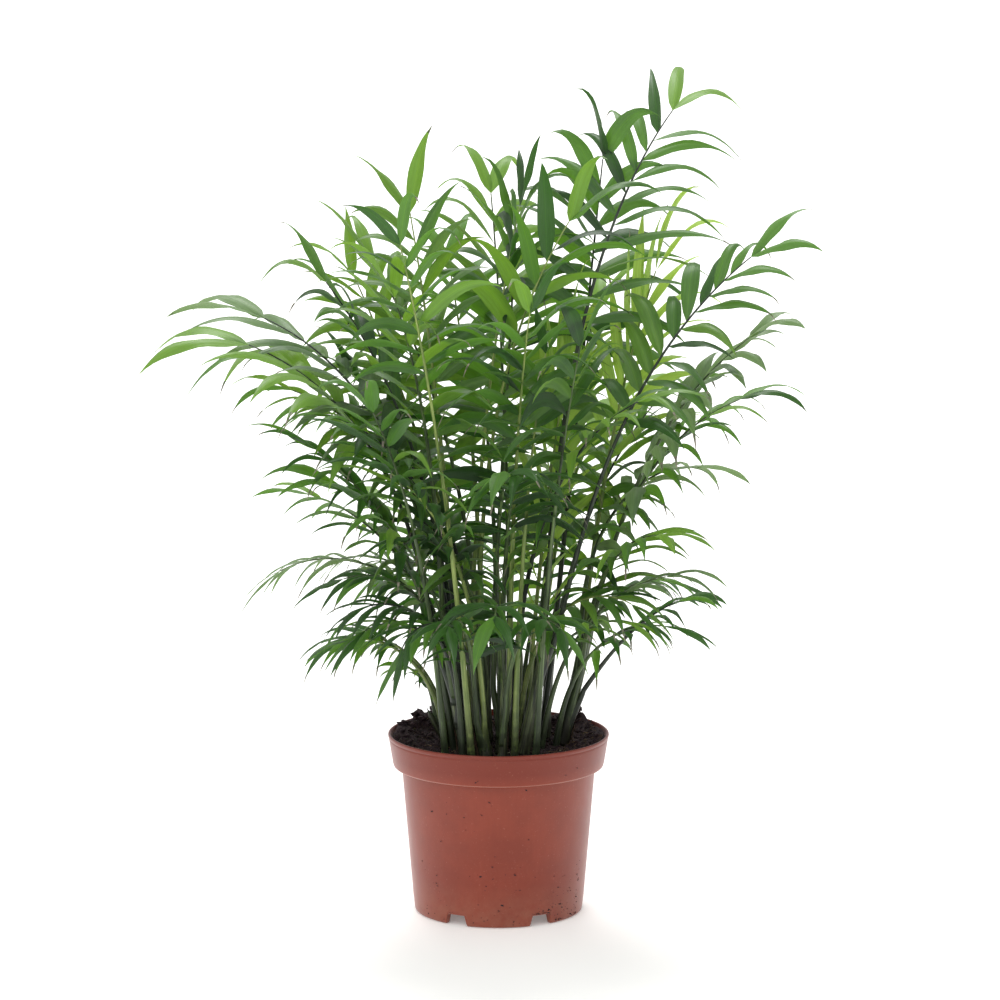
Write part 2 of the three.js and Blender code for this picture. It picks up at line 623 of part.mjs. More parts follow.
// ---- The scene graph ------------------------------------------------------------------------------

function named(name, geometry, color, roughness) {
  const material = new THREE.MeshStandardMaterial({ color, roughness, metalness: 0 });
  const mesh = new THREE.Mesh(geometry, material);
  mesh.name = name;
  return mesh;
}

function twoDigits(number) {
  return String(number).padStart(2, '0');
}

function buildPalm() {
  const palm = new THREE.Group();
  palm.add(named('pot', toGeometry(potSolid()), TERRACOTTA, 0.45));
  palm.add(named('soil', toGeometry(soilSolid()), PEAT, 0.95));

  const canes = [];
  for (const [i, cane] of CANES.entries()) {
    const geometry = caneGeometry(cane);
    const solid = toSolid(geometry);
    canes.push({ node: `cane ${i + 1}`, solid, box: solid.boundingBox() });
    palm.add(named(`cane_${twoDigits(i + 1)}`, geometry, CANE_GREEN, 0.6));
  }

  const ribs = placeRibs().map((rib) => ({ ...rib, solid: toSolid(ribGeometry(rib)), leaflets: [] }));
  growLeaflets(ribs, canes);
  for (const rib of ribs) {
    const solid = rib.leaflets.reduce((whole, leaflet) => whole.add(leaflet), rib.solid);
    const color = LEAF_GREENS[rib.number % LEAF_GREENS.length];
    palm.add(named(`frond_${twoDigits(rib.number)}`, toGeometry(solid), color, 0.5));
  }
  return palm;
}

export default buildPalm();
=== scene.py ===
"""A parlour palm in its moulded nursery pot, dressed for a studio picture.

Shapes are worked out in millimetres and degrees, with +Z up and -Y to the front, and turn into metres
where a mesh is made. The canes, the fronds and the places of their leaflets follow the rule of the
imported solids, written again here, so each piece lies where the solid that it stands for is.
"""

import logging
import math
from dataclasses import dataclass, replace
from enum import Enum

import bpy
import numpy as np
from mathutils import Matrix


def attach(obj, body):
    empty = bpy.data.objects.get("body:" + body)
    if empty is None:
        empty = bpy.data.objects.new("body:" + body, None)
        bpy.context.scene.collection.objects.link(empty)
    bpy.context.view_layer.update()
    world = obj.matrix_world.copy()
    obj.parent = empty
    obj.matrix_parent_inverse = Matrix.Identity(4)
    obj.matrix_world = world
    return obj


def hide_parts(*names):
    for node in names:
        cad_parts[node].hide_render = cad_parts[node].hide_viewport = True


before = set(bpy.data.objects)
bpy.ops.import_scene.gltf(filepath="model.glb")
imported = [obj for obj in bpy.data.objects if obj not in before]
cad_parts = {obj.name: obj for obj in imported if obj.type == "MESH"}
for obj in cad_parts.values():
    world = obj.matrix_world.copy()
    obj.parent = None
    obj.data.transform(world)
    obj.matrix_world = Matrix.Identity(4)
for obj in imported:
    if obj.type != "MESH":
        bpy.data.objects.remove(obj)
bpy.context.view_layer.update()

Array = np.ndarray
Colour = tuple[float, float, float, float]
Beads = tuple[Array, Array]  # points along a stem, and its radius at each
Node = bpy.types.Node
Socket = bpy.types.NodeSocket
Tree = bpy.types.NodeTree

MM = 0.001  # one millimetre in metres
BODY = "root"  # the one body that every piece rides on
UP = np.array([0.0, 0.0, 1.0])
NOISE_PITCH, NOISE_START, NOISE_GAIN = 12.9898, 4.137, 43758.5453  # of the sine whose fraction is taken
PATTERN_STEP = 53.0  # from where one tube starts in its finish's pattern to where the next one does
WAVE_FACTOR = 20.0  # what the wave node multiplies a place by
LOG = logging.getLogger("palm")


# ---- Small mathematics ----------------------------------------------------------------------------


def noise(seed: float | Array) -> Array:
    """Give a repeatable number from 0 to 1 for each seed: the fraction of a large multiple of a sine.

    Args:
        seed: one number or an array of them.

    Returns:
        An array of the same shape.
    """
    value = np.sin(np.asarray(seed, float) * NOISE_PITCH + NOISE_START) * NOISE_GAIN
    return value - np.floor(value)


def spread(seed: float | Array, low: float, high: float) -> Array:
    """Give a repeatable number from low to high for each seed."""
    return low + (high - low) * noise(seed)


def heading(bearing: float | Array, lean: float | Array) -> Array:
    """Give the unit vector that leans from upright towards a bearing, both in degrees.

    Args:
        bearing: the direction over the ground, anticlockwise from +X.
        lean: the angle from upright.

    Returns:
        Vectors along the last axis.
    """
    turn, tilt = np.radians(bearing), np.radians(lean)
    parts = (np.sin(tilt) * np.cos(turn), np.sin(tilt) * np.sin(turn), np.cos(tilt))
    return np.stack(np.broadcast_arrays(*parts), axis=-1)


def unit(vectors: Array) -> Array:
    """Scale vectors along the last axis to length 1."""
    return vectors / np.maximum(np.linalg.norm(vectors, axis=-1, keepdims=True), 1e-9)


def smooth(value: float | Array) -> Array:
    """Ease from 0 to 1 with level ends: 3 t squared less 2 t cubed, held outside that range."""
    part = np.clip(value, 0.0, 1.0)
    return part * part * (3.0 - 2.0 * part)


def mix(start: float | Array, end: float | Array, share: float | Array) -> Array:
    """Go from start to end by a share."""
    return start + (end - start) * share


def round_axis(radius: Array, angle: Array, height: float | Array) -> Array:
    """Give points from their distance to the upright axis, their angle round it and their height.

    Args:
        radius: the distances.
        angle: the angles in radians, anticlockwise from +X.
        height: the heights.

    Returns:
        Points along the last axis.
    """
    return np.stack(np.broadcast_arrays(radius * np.cos(angle), radius * np.sin(angle), height), axis=-1)


def relief(x: Array, y: Array, cell: float, seed: float = 0.0) -> Array:
    """Give smooth noise over the plane: a random height at each corner of square cells, eased between.

    Args:
        x: places across.
        y: places along.
        cell: the side of a cell.
        seed: another seed gives another surface.

    Returns:
        Heights from -1 to 1.
    """
    column, row = np.floor(x / cell), np.floor(y / cell)
    across, along = smooth(x / cell - column), smooth(y / cell - row)

    def corner(right: int, ahead: int) -> Array:
        """Give the random height at one corner of each cell."""
        return noise((column + right) * 7.13 + (row + ahead) * 31.7 + seed)

    near = mix(corner(0, 0), corner(1, 0), across)
    far = mix(corner(0, 1), corner(1, 1), across)
    return 2.0 * mix(near, far, along) - 1.0


# ---- From grids of points to pieces ---------------------------------------------------------------


NO_PLACE = np.zeros((1, 1, 1, 2))  # for small things whose finish doesn't follow their surface


class Slot(Enum):
    """The record's material slots."""

    POT = "pot"
    SOIL = "soil"
    CANE = "cane"
    FROND = "frond"


class Surface:
    """Collects grids of points, in millimetres, and makes one mesh or piece of them."""

    def __init__(self) -> None:
        """Start with nothing."""
        self.points: list[Array] = []
        self.corners: list[Array] = []
        self.sizes: list[Array] = []
        self.uvs: list[Array] = []
        self.count = 0

    def add(self, grids: Array, uv: Array, closed: bool = False) -> None:
        """Add a batch of grids whose rows run ahead and whose columns run anticlockwise about that.

        Args:
            grids: points, as (grid, row, column, 3).
            uv: the place on the surface in millimetres, as (grid, row, column, 2), with one column
                more than the grid has where it is closed.
            closed: whether the last column joins the first, and the end rows are filled.
        """
        batch, rows, columns = grids.shape[:3]
        index = np.arange(batch * rows * columns).reshape(batch, rows, columns) + self.count
        uv = np.broadcast_to(uv, (batch, rows, columns + int(closed), 2))
        ring = np.concatenate([index, index[:, :, :1]], axis=2) if closed else index
        quads = [ring[:, :-1, :-1], ring[:, :-1, 1:], ring[:, 1:, 1:], ring[:, 1:, :-1]]
        places = [uv[:, :-1, :-1], uv[:, :-1, 1:], uv[:, 1:, 1:], uv[:, 1:, :-1]]
        self.points.append(grids.reshape(-1, 3))
        self.corners.append(np.stack(quads, axis=-1).ravel())
        self.uvs.append(np.stack(places, axis=-2).reshape(-1, 2))
        self.sizes.append(np.full(quads[0].size, 4))
        if closed:
            for row, order in ((0, slice(None, None, -1)), (-1, slice(None))):
                self.corners.append(index[:, row, order].ravel())
                self.uvs.append(uv[:, row, :-1][:, order].reshape(-1, 2))
                self.sizes.append(np.full(batch, columns))
        self.count += batch * rows * columns

    def mesh(self, name: str, rounded: bool = True) -> bpy.types.Mesh:
        """Make the mesh, in metres.

        Args:
            name: the mesh's name.
            rounded: whether it is shaded smooth, or shows its facets.

        Returns:
            The mesh.
        """
        corners, sizes = np.concatenate(self.corners), np.concatenate(self.sizes)
        mesh = bpy.data.meshes.new(name)
        mesh.vertices.add(self.count)
        mesh.vertices.foreach_set("co", (np.concatenate(self.points) * MM).astype(np.float32).ravel())
        mesh.loops.add(len(corners))
        mesh.loops.foreach_set("vertex_index", corners.astype(np.int32))
        mesh.polygons.add(len(sizes))
        mesh.polygons.foreach_set("loop_start", (np.cumsum(sizes) - sizes).astype(np.int32))
        mesh.polygons.foreach_set("use_smooth", np.full(len(sizes), rounded))
        layer = mesh.uv_layers.new(name="surface")
        layer.uv.foreach_set("vector", np.concatenate(self.uvs).astype(np.float32).ravel())
        mesh.update(calc_edges=True)
        mesh.validate()
        return mesh

    def piece(
        self, name: str, material: bpy.types.Material, slot: Slot, nodes: list[str], rounded: bool = True
    ) -> bpy.types.Object:
        """Make the piece, let it ride on the plant's body and stand for the named solids.

        Args:
            name: the piece's name.
            material: its finish.
            slot: the record's slot for the finish; not used.
            nodes: the solids that it stands for.
            rounded: whether it is shaded smooth, or shows its facets.

        Returns:
            The piece.
        """
        mesh = self.mesh(name, rounded)
        mesh.materials.append(material)
        piece = bpy.data.objects.new(name, mesh)
        bpy.context.scene.collection.objects.link(piece)
        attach(piece, BODY)
        if nodes:
            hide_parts(*nodes)
        LOG.info("%s: %d faces, stands for %d solids", name, len(mesh.polygons), len(nodes))
        return piece


def cut_away(piece: bpy.types.Object, rods: bpy.types.Mesh) -> None:
    """Cut closed shapes out of a piece for good, and leave nothing of them in the scene.

    Args:
        piece: the piece, whose mesh is closed.
        rods: the mesh of the shapes to take away.
    """
    cutter = bpy.data.objects.new(rods.name, rods)
    bpy.context.scene.collection.objects.link(cutter)
    cut = piece.modifiers.new("cut", "BOOLEAN")
    cut.operation, cut.solver, cut.object = "DIFFERENCE", "EXACT", cutter
    view = bpy.context.evaluated_depsgraph_get()
    whole, pierced = piece.data, bpy.data.meshes.new_from_object(piece.evaluated_get(view), depsgraph=view)
    piece.modifiers.clear()
    piece.data = pierced
    pierced.name = piece.name
    bpy.data.objects.remove(cutter)
    for spent in (whole, rods):
        bpy.data.meshes.remove(spent)
    LOG.info("%s: cut to %d faces", piece.name, len(pierced.polygons))


def tubes(paths: Array, radii: Array, level: Array, sides: int, groove: float = 0.0) -> Array:
    """Carry a ring of points along paths.

    The ring's plane is square to the path. Its first direction is the level one, and the second is
    the tangent crossed with the first, so a point is centre + r (cos a level + sin a upper). A groove
    lowers the radius where a points along the upper direction.

    Args:
        paths: centre lines, as (path, row, 3).
        radii: the radius at each row, as (path, row).
        level: the direction across each path, as (path, 3) or (path, row, 3).
        sides: the number of points in a ring.
        groove: the share of the radius that the groove takes away.

    Returns:
        Points, as (path, row, column, 3).
    """
    ahead = unit(np.gradient(paths, axis=1))
    level = np.broadcast_to(level if level.ndim == 3 else level[:, None], paths.shape)
    first = unit(level - ahead * np.sum(level * ahead, axis=-1, keepdims=True))
    second = np.cross(ahead, first)
    angle = np.linspace(0.0, 2.0 * np.pi, sides, endpoint=False)
    reach = radii[:, :, None] * (1.0 - groove * np.clip(np.sin(angle), 0.0, 1.0) ** 4)
    ring = np.cos(angle)[:, None] * first[:, :, None] + np.sin(angle)[:, None] * second[:, :, None]
    return paths[:, :, None] + reach[..., None] * ring


def tube_places(paths: Array, radii: Array, sides: int) -> Array:
    """Give the place on each tube in millimetres: round it at its mean radius, and along it.

    Args:
        paths: centre lines, as (path, row, 3).
        radii: the radius at each row, as (path, row).
        sides: the number of points in a ring.

    Returns:
        Places, as (path, row, column + 1, 2). Each tube starts somewhere else in the pattern.
    """
    steps = np.linalg.norm(np.diff(paths, axis=1), axis=-1)
    along = np.concatenate([np.zeros((len(paths), 1)), np.cumsum(steps, axis=1)], axis=1)
    start = PATTERN_STEP * np.arange(len(paths))[:, None]
    turn = np.linspace(0.0, 2.0 * np.pi, sides + 1)
    around = radii.mean(axis=1)[:, None, None] * turn + 0.0 * along[:, :, None]
    return np.stack([around + start[:, :, None], (along + start)[:, :, None] + 0.0 * around], axis=-1)


# ---- Finishes -------------------------------------------------------------------------------------


def linear(code: str) -> Colour:
    """Turn an sRGB hex colour into the linear values that a shader takes.

    Args:
        code: the colour, as # and six hex digits.

    Returns:
        Red, green and blue, and a full alpha.
    """
    channels = np.array([int(code[i : i + 2], 16) for i in (1, 3, 5)]) / 255.0
    values = np.where(channels <= 0.04045, channels / 12.92, ((channels + 0.055) / 1.055) ** 2.4)
    return (*values.tolist(), 1.0)


def feed(tree: Tree, node: Node, inputs: dict) -> None:
    """Give a node its inputs.

    Args:
        tree: the material's node tree.
        node: the node.
        inputs: a value or another node's output for each named or numbered input.
    """
    for key, value in inputs.items():
        if isinstance(value, Socket):
            tree.links.new(value, node.inputs[key])
        else:
            node.inputs[key].default_value = value


def add_node(tree: Tree, kind: str, inputs: dict | None = None, **settings: object) -> Node:
    """Add a node with its settings, values and links.

    Args:
        tree: the material's node tree.
        kind: the node's type.
        inputs: a value or another node's output for each named or numbered input.
        settings: the node's own properties.

    Returns:
        The node.
    """
    node = tree.nodes.new(kind)
    for name, value in settings.items():
        setattr(node, name, value)
    feed(tree, node, inputs or {})
    return node


@dataclass(frozen=True)
class Pattern:
    """Fractal noise as a share: its features' size in millimetres, and its range that becomes 0 to top."""

    cell: float
    low: float
    high: float
    top: float = 1.0


@dataclass(frozen=True)
class Finish:
    """A material with the nodes that all of these finishes start from."""

    name: str
    roughness: float

    def start(self) -> tuple[bpy.types.Material, Tree, Node]:
        """Make the material with an empty tree and its main shader.

        Returns:
            The material, its node tree and its Principled shader.
        """
        material = bpy.data.materials.new(self.name)
        material.use_nodes = True
        tree = material.node_tree
        tree.nodes.clear()
        shader = add_node(tree, "ShaderNodeBsdfPrincipled", {"Roughness": self.roughness})
        add_node(tree, "ShaderNodeOutputMaterial", {"Surface": shader.outputs[0]})
        return material, tree, shader

    def object_mm(self, tree: Tree, scale: tuple = (1.0, 1.0, 1.0)) -> Socket:
        """Give Object coordinates in millimetres.

        Args:
            tree: the node tree.
            scale: by how much each axis is scaled.

        Returns:
            The coordinates.
        """
        place = add_node(tree, "ShaderNodeTexCoord").outputs["Object"]
        size = tuple(axis / MM for axis in scale)
        return add_node(tree, "ShaderNodeMapping", {0: place, "Scale": size}).outputs[0]

    def surface_mm(self, tree: Tree, scale: tuple = (1.0, 1.0, 1.0)) -> Socket:
        """Give the place on the surface in millimetres, with each axis scaled."""
        place = add_node(tree, "ShaderNodeUVMap", uv_map="surface").outputs[0]
        return add_node(tree, "ShaderNodeMapping", {0: place, "Scale": scale}).outputs[0]

    def axis(self, tree: Tree, place: Socket, number: int) -> Socket:
        """Give one axis of a place, from 0."""
        return add_node(tree, "ShaderNodeSeparateXYZ", {0: place}).outputs[number]

    def grain(self, tree: Tree, where: Socket, cell: float) -> Socket:
        """Give fractal noise from 0 to 1 with features of a size in millimetres."""
        inputs = {"Vector": where, "Scale": 1.0 / cell, "Detail": 4.0, "Roughness": 0.6}
        return add_node(tree, "ShaderNodeTexNoise", inputs).outputs[0]

    def blend(self, tree: Tree, share: Socket, first: Socket | Colour, second: Socket | Colour) -> Socket:
        """Mix two colours by a share."""
        inputs = {0: share, 6: first, 7: second}
        return add_node(tree, "ShaderNodeMix", inputs, data_type="RGBA").outputs[2]

    def stretch(
        self, tree: Tree, value: Socket, low: float, high: float, top: float = 1.0, bottom: float = 0.0
    ) -> Socket:
        """Turn the range from low to high into bottom to top, held outside it."""
        inputs = {0: value, 1: low, 2: high, 3: bottom, 4: top}
        return add_node(tree, "ShaderNodeMapRange", inputs).outputs[0]

    def pattern(self, tree: Tree, where: Socket, pattern: Pattern) -> Socket:
        """Give a pattern's share at a place."""
        grain = self.grain(tree, where, pattern.cell)
        return self.stretch(tree, grain, pattern.low, pattern.high, pattern.top)

    def times(self, tree: Tree, first: Socket, second: Socket) -> Socket:
        """Multiply two values."""
        return add_node(tree, "ShaderNodeMath", {0: first, 1: second}, operation="MULTIPLY").outputs[0]

    def bump(self, tree: Tree, height: Socket, depth: float, strength: float) -> Socket:
        """Give the normals of a relief whose depth is in millimetres."""
        inputs = {"Height": height, "Distance": depth * MM, "Strength": strength}
        return add_node(tree, "ShaderNodeBump", inputs).outputs[0]


@dataclass(frozen=True)
class MouldedPolypropylene(Finish):
    """Terracotta-coloured polypropylene, injection moulded in a lightly blasted mould.

    The eye sees an even, slightly chalky red-brown with a soft broad sheen and faint drag lines down the wall;
    a collar darkened by painted shade, a pale line under it that is a painted highlight, and a pale layer of
    dried peat low on the wall that also paints light over the shade there.
    """

    name: str = "pot_moulded_polypropylene"
    roughness: float = 0.42
    colour: str = "#863724"
    shade: str = "#7d3221"
    # painted shade: the collar's darker colour stands in for shade on the collar
    collar: str = "#742918"
    # pale flecks, and the painted highlight along the collar's lower edge
    pale_fleck_and_highlight: str = "#b07463"
    # a pale layer of dried peat low on the wall, which also paints light over the shade there
    peat_film_and_painted_light: str = "#a06f58"
    bloom: str = "#ffeaec"
    clouds: Pattern = Pattern(38.0, 0.38, 0.62)
    drag: Pattern = Pattern(1.0, 0.45, 0.75, 0.5)
    drag_scale: tuple = (0.45, 0.45, 0.02)  # the drag lines run upright
    flecks: Pattern = Pattern(1.6, 0.62, 0.74, 0.3)  # the pale ones that hard water leaves
    spots: Pattern = Pattern(9.0, 0.2, 0.8)  # where the layer of peat, and the light painted with it, lies thick
    edge_height: float = 113.3  # the pale line under the collar: a painted highlight along its lower edge
    edge_width: float = 0.9
    edge_share: float = 0.75
    lip_height: float = 122.0  # where the collar has its full painted shade: a darker colour that stands in for shade on the collar
    film_and_light_height: float = 34.0  # how far up the pale layer of peat reaches, which also paints light over the shade low on the wall
    film_and_light_share: float = 0.5
    gloss: float = 0.4
    chalk: float = 0.41  # the pale bloom that shows at a glancing angle
    chalk_spread: float = 0.35
    rough_cell: float = 9.0
    rough_most: float = 0.5
    rough_least: float = 0.36
    blast_cell: float = 0.7
    blast: tuple = (0.05, 0.35)  # depth and strength of the blasted relief

    def build(self) -> bpy.types.Material:
        """Make the material.

        Returns:
            The material.
        """
        material, tree, shader = self.start()
        place = self.object_mm(tree)
        shade, pale_fleck_and_highlight = linear(self.shade), linear(self.pale_fleck_and_highlight)
        base = self.blend(tree, self.pattern(tree, place, self.clouds), linear(self.colour), shade)
        streaks = self.pattern(tree, self.object_mm(tree, self.drag_scale), self.drag)
        base = self.blend(tree, streaks, base, shade)
        height = self.axis(tree, place, 2)
        # painted shade: the collar darkens from its lower edge up to lip_height
        upwards = self.stretch(tree, height, self.edge_height, self.lip_height)
        base = self.blend(tree, upwards, base, linear(self.collar))
        # painted highlight: a pale line along the collar's lower edge
        low, high = self.edge_height - self.edge_width, self.edge_height + self.edge_width
        rising = self.stretch(tree, height, low, self.edge_height)
        falling = self.stretch(tree, height, high, self.edge_height, self.edge_share)
        base = self.blend(tree, self.times(tree, rising, falling), base, pale_fleck_and_highlight)
        base = self.blend(tree, self.pattern(tree, place, self.flecks), base, pale_fleck_and_highlight)
        # a layer of dried peat, pale enough to also paint light over the shade low on the wall
        peat_film_and_painted_light = self.stretch(tree, height, self.film_and_light_height, 0.0, self.film_and_light_share)
        peat_film_and_painted_light = self.times(tree, peat_film_and_painted_light, self.pattern(tree, place, self.spots))
        rough = self.grain(tree, place, self.rough_cell)
        feed(tree, shader, {
            "Base Color": self.blend(tree, peat_film_and_painted_light, base, linear(self.peat_film_and_painted_light)),
            "Specular IOR Level": self.gloss,
            "Sheen Weight": self.chalk,
            "Sheen Roughness": self.chalk_spread,
            "Sheen Tint": linear(self.bloom),
            "Roughness": self.stretch(tree, rough, 0.0, 1.0, self.rough_most, self.rough_least),
            "Normal": self.bump(tree, self.grain(tree, place, self.blast_cell), *self.blast),
        })
        return material


@dataclass(frozen=True)
class DampPeat(Finish):
    """Damp peat: nearly black, matt and crumbly, with browner dry grains on top."""

    name: str = "damp_peat"
    roughness: float = 0.93
    damp: str = "#2a1b22"
    dry: str = "#5e423c"
    grains: Pattern = Pattern(1.6, 0.45, 0.75)
    patches: Pattern = Pattern(14.0, 0.3, 0.7)
    crumb_cell: float = 0.8
    crumbs: tuple = (0.4, 0.8)  # depth and strength of the relief

    def build(self) -> bpy.types.Material:
        """Make the material.

        Returns:
            The material.
        """
        material, tree, shader = self.start()
        place = self.object_mm(tree)
        share = self.pattern(tree, place, self.grains)
        share = self.times(tree, share, self.pattern(tree, place, self.patches))
        feed(tree, shader, {
            "Base Color": self.blend(tree, share, linear(self.damp), linear(self.dry)),
            "Normal": self.bump(tree, self.grain(tree, place, self.crumb_cell), *self.crumbs),
        })
        return material


@dataclass(frozen=True)
class PlainMatter(Finish):
    """A small dry thing of one natural colour that varies a little: fibre, grit or papery sheath."""

    light: str
    dark: str
    cell: float = 1.5
    tones: tuple = (0.35, 0.65)  # the range of the noise that goes from dark to light
    relief: tuple = (0.1, 0.5)  # depth and strength

    def build(self) -> bpy.types.Material:
        """Make the material.

        Returns:
            The material.
        """
        material, tree, shader = self.start()
        place = self.object_mm(tree)
        share = self.pattern(tree, place, Pattern(self.cell, *self.tones))
        feed(tree, shader, {
            "Base Color": self.blend(tree, share, linear(self.dark), linear(self.light)),
            "Normal": self.bump(tree, self.grain(tree, place, self.cell / 3), *self.relief),
        })
        return material


@dataclass(frozen=True)
class CaneRind(Finish):
    """The smooth rind of a young cane: waxy, with long pale stripes on slate green, and darker towards a dark
    brown foot: painted shade where the crown shades the canes near the peat.
    """

    dark: str = "#252c22"
    light: str = "#83925f"
    # painted shade: dark brown from foot_low up to foot_high, where the crown shades the canes near the peat
    foot: str = "#1d1a13"
    foot_low: float = 126.0
    foot_high: float = 175.0
    blotches: Pattern = Pattern(7.0, 0.1, 0.5)  # in the painted shade of the foot
    stripe: float = 1.1  # the width of a stripe
    stripe_length: float = 55.0
    stripe_tones: tuple = (0.36, 0.64)
    stem_spacing: float = 7.0  # between stems of another tone
    stem_length: float = 260.0
    stem_tones: tuple = (0.34, 0.6)
    relief: tuple = (0.12, 0.5)  # depth and strength
    gloss: float = 0.35

    def build(self) -> bpy.types.Material:
        """Make the material.

        Returns:
            The material.
        """
        material, tree, shader = self.start()
        lengthwise = (1.0, self.stripe / self.stripe_length, 1.0)
        stripes = self.grain(tree, self.surface_mm(tree, lengthwise), self.stripe)
        upright = (1.0, 1.0, self.stem_spacing / self.stem_length)
        stems = Pattern(self.stem_spacing, *self.stem_tones)
        tone = self.pattern(tree, self.object_mm(tree, upright), stems)
        share = self.times(tree, self.stretch(tree, stripes, *self.stripe_tones), tone)
        base = self.blend(tree, share, linear(self.dark), linear(self.light))
        place = self.object_mm(tree)
        # painted shade: darker towards the foot
        foot = self.stretch(tree, self.axis(tree, place, 2), self.foot_high, self.foot_low)
        foot = self.times(tree, foot, self.pattern(tree, place, self.blotches))
        feed(tree, shader, {
            "Base Color": self.blend(tree, foot, base, linear(self.foot)),
            "Normal": self.bump(tree, stripes, *self.relief),
            "Specular IOR Level": self.gloss,
        })
        return material


@dataclass(frozen=True)
class LeafBlade(Finish):
    """A living leaf blade: a waxy upper face, light that glows through it, and fine parallel veins."""

    face: str
    glow: str
    through: float = 0.38  # the share of the light that goes through the blade
    shade: float = 0.62  # of the face's colour, in its darker streaks
    streaks: Pattern = Pattern(1.6, 0.35, 0.7)
    streak_scale: tuple = (1.0, 0.04, 1.0)  # they run along the blade
    patches: Pattern = Pattern(17.0, 0.35, 0.75, 0.5)
    vein_spacing: float = 1.15
    pleat_spacing: float = 2.5  # between the stronger veins
    pleat_tones: tuple = (0.7, 0.1, 0.85)
    wander: float = 0.6  # how far the veins leave a straight line
    midrib: float = 0.4  # half the width of the pale line along the middle
    midrib_share: float = 0.25
    bloom: float = 0.12  # a faint whitish bloom of wax, which shows at a glancing angle
    bloom_spread: float = 0.5
    relief: tuple = (0.07, 0.5)  # depth and strength

    def build(self) -> bpy.types.Material:
        """Make the material: a glossy shader and a translucent one, mixed by a fixed share.

        Returns:
            The material.
        """
        material, tree, shader = self.start()
        place = self.surface_mm(tree)
        face, glow = linear(self.face), linear(self.glow)
        darker = tuple(channel * self.shade for channel in face[:3]) + (1.0,)
        streaks = self.pattern(tree, self.surface_mm(tree, self.streak_scale), self.streaks)
        base = self.blend(tree, streaks, face, darker)
        base = self.blend(tree, self.pattern(tree, self.object_mm(tree), self.patches), base, darker)
        bands = []
        for spacing in (self.vein_spacing, self.pleat_spacing):
            scale = 2.0 * math.pi / (WAVE_FACTOR * spacing)
            wave = {"Vector": place, "Scale": scale, "Distortion": self.wander}
            bands.append(add_node(tree, "ShaderNodeTexWave", wave, bands_direction="X").outputs[1])
        base = self.blend(tree, self.stretch(tree, bands[1], *self.pleat_tones), base, darker)
        across = self.axis(tree, place, 0)
        offset = add_node(tree, "ShaderNodeMath", {0: across}, operation="ABSOLUTE").outputs[0]
        middle = self.stretch(tree, offset, self.midrib, 0.5 * self.midrib, self.midrib_share)
        veins = add_node(tree, "ShaderNodeMath", {0: bands[0], 1: bands[1]}, operation="ADD").outputs[0]
        normal = self.bump(tree, veins, *self.relief)
        feed(tree, shader, {
            "Base Color": self.blend(tree, middle, base, glow),
            "Sheen Weight": self.bloom,
            "Sheen Roughness": self.bloom_spread,
            "Normal": normal,
        })
        inside = add_node(tree, "ShaderNodeBsdfTranslucent", {"Color": glow, "Normal": normal})
        both = {0: self.through, 1: shader.outputs[0], 2: inside.outputs[0]}
        mixed = add_node(tree, "ShaderNodeMixShader", both)
        output = next(node for node in tree.nodes if node.type == "OUTPUT_MATERIAL")
        feed(tree, output, {"Surface": mixed.outputs[0]})
        return material


@dataclass(frozen=True)
class StudioPaper(Finish):
    """Matt white background paper: no sheen, almost no colour."""

    name: str = "studio_paper"
    roughness: float = 0.95
    colour: str = "#fafaf8"
    lit_through: float = 0.2  # the paper is lit from below as well, which thins the shadows on it

    def build(self) -> bpy.types.Material:
        """Make the material.

        Returns:
            The material.
        """
        material, tree, shader = self.start()
        feed(tree, shader, {
            "Base Color": linear(self.colour),
            "Emission Color": linear(self.colour),
            "Emission Strength": self.lit_through,
            "Specular IOR Level": 0.0,
        })
        return material


# ---- The pot --------------------------------------------------------------------------------------


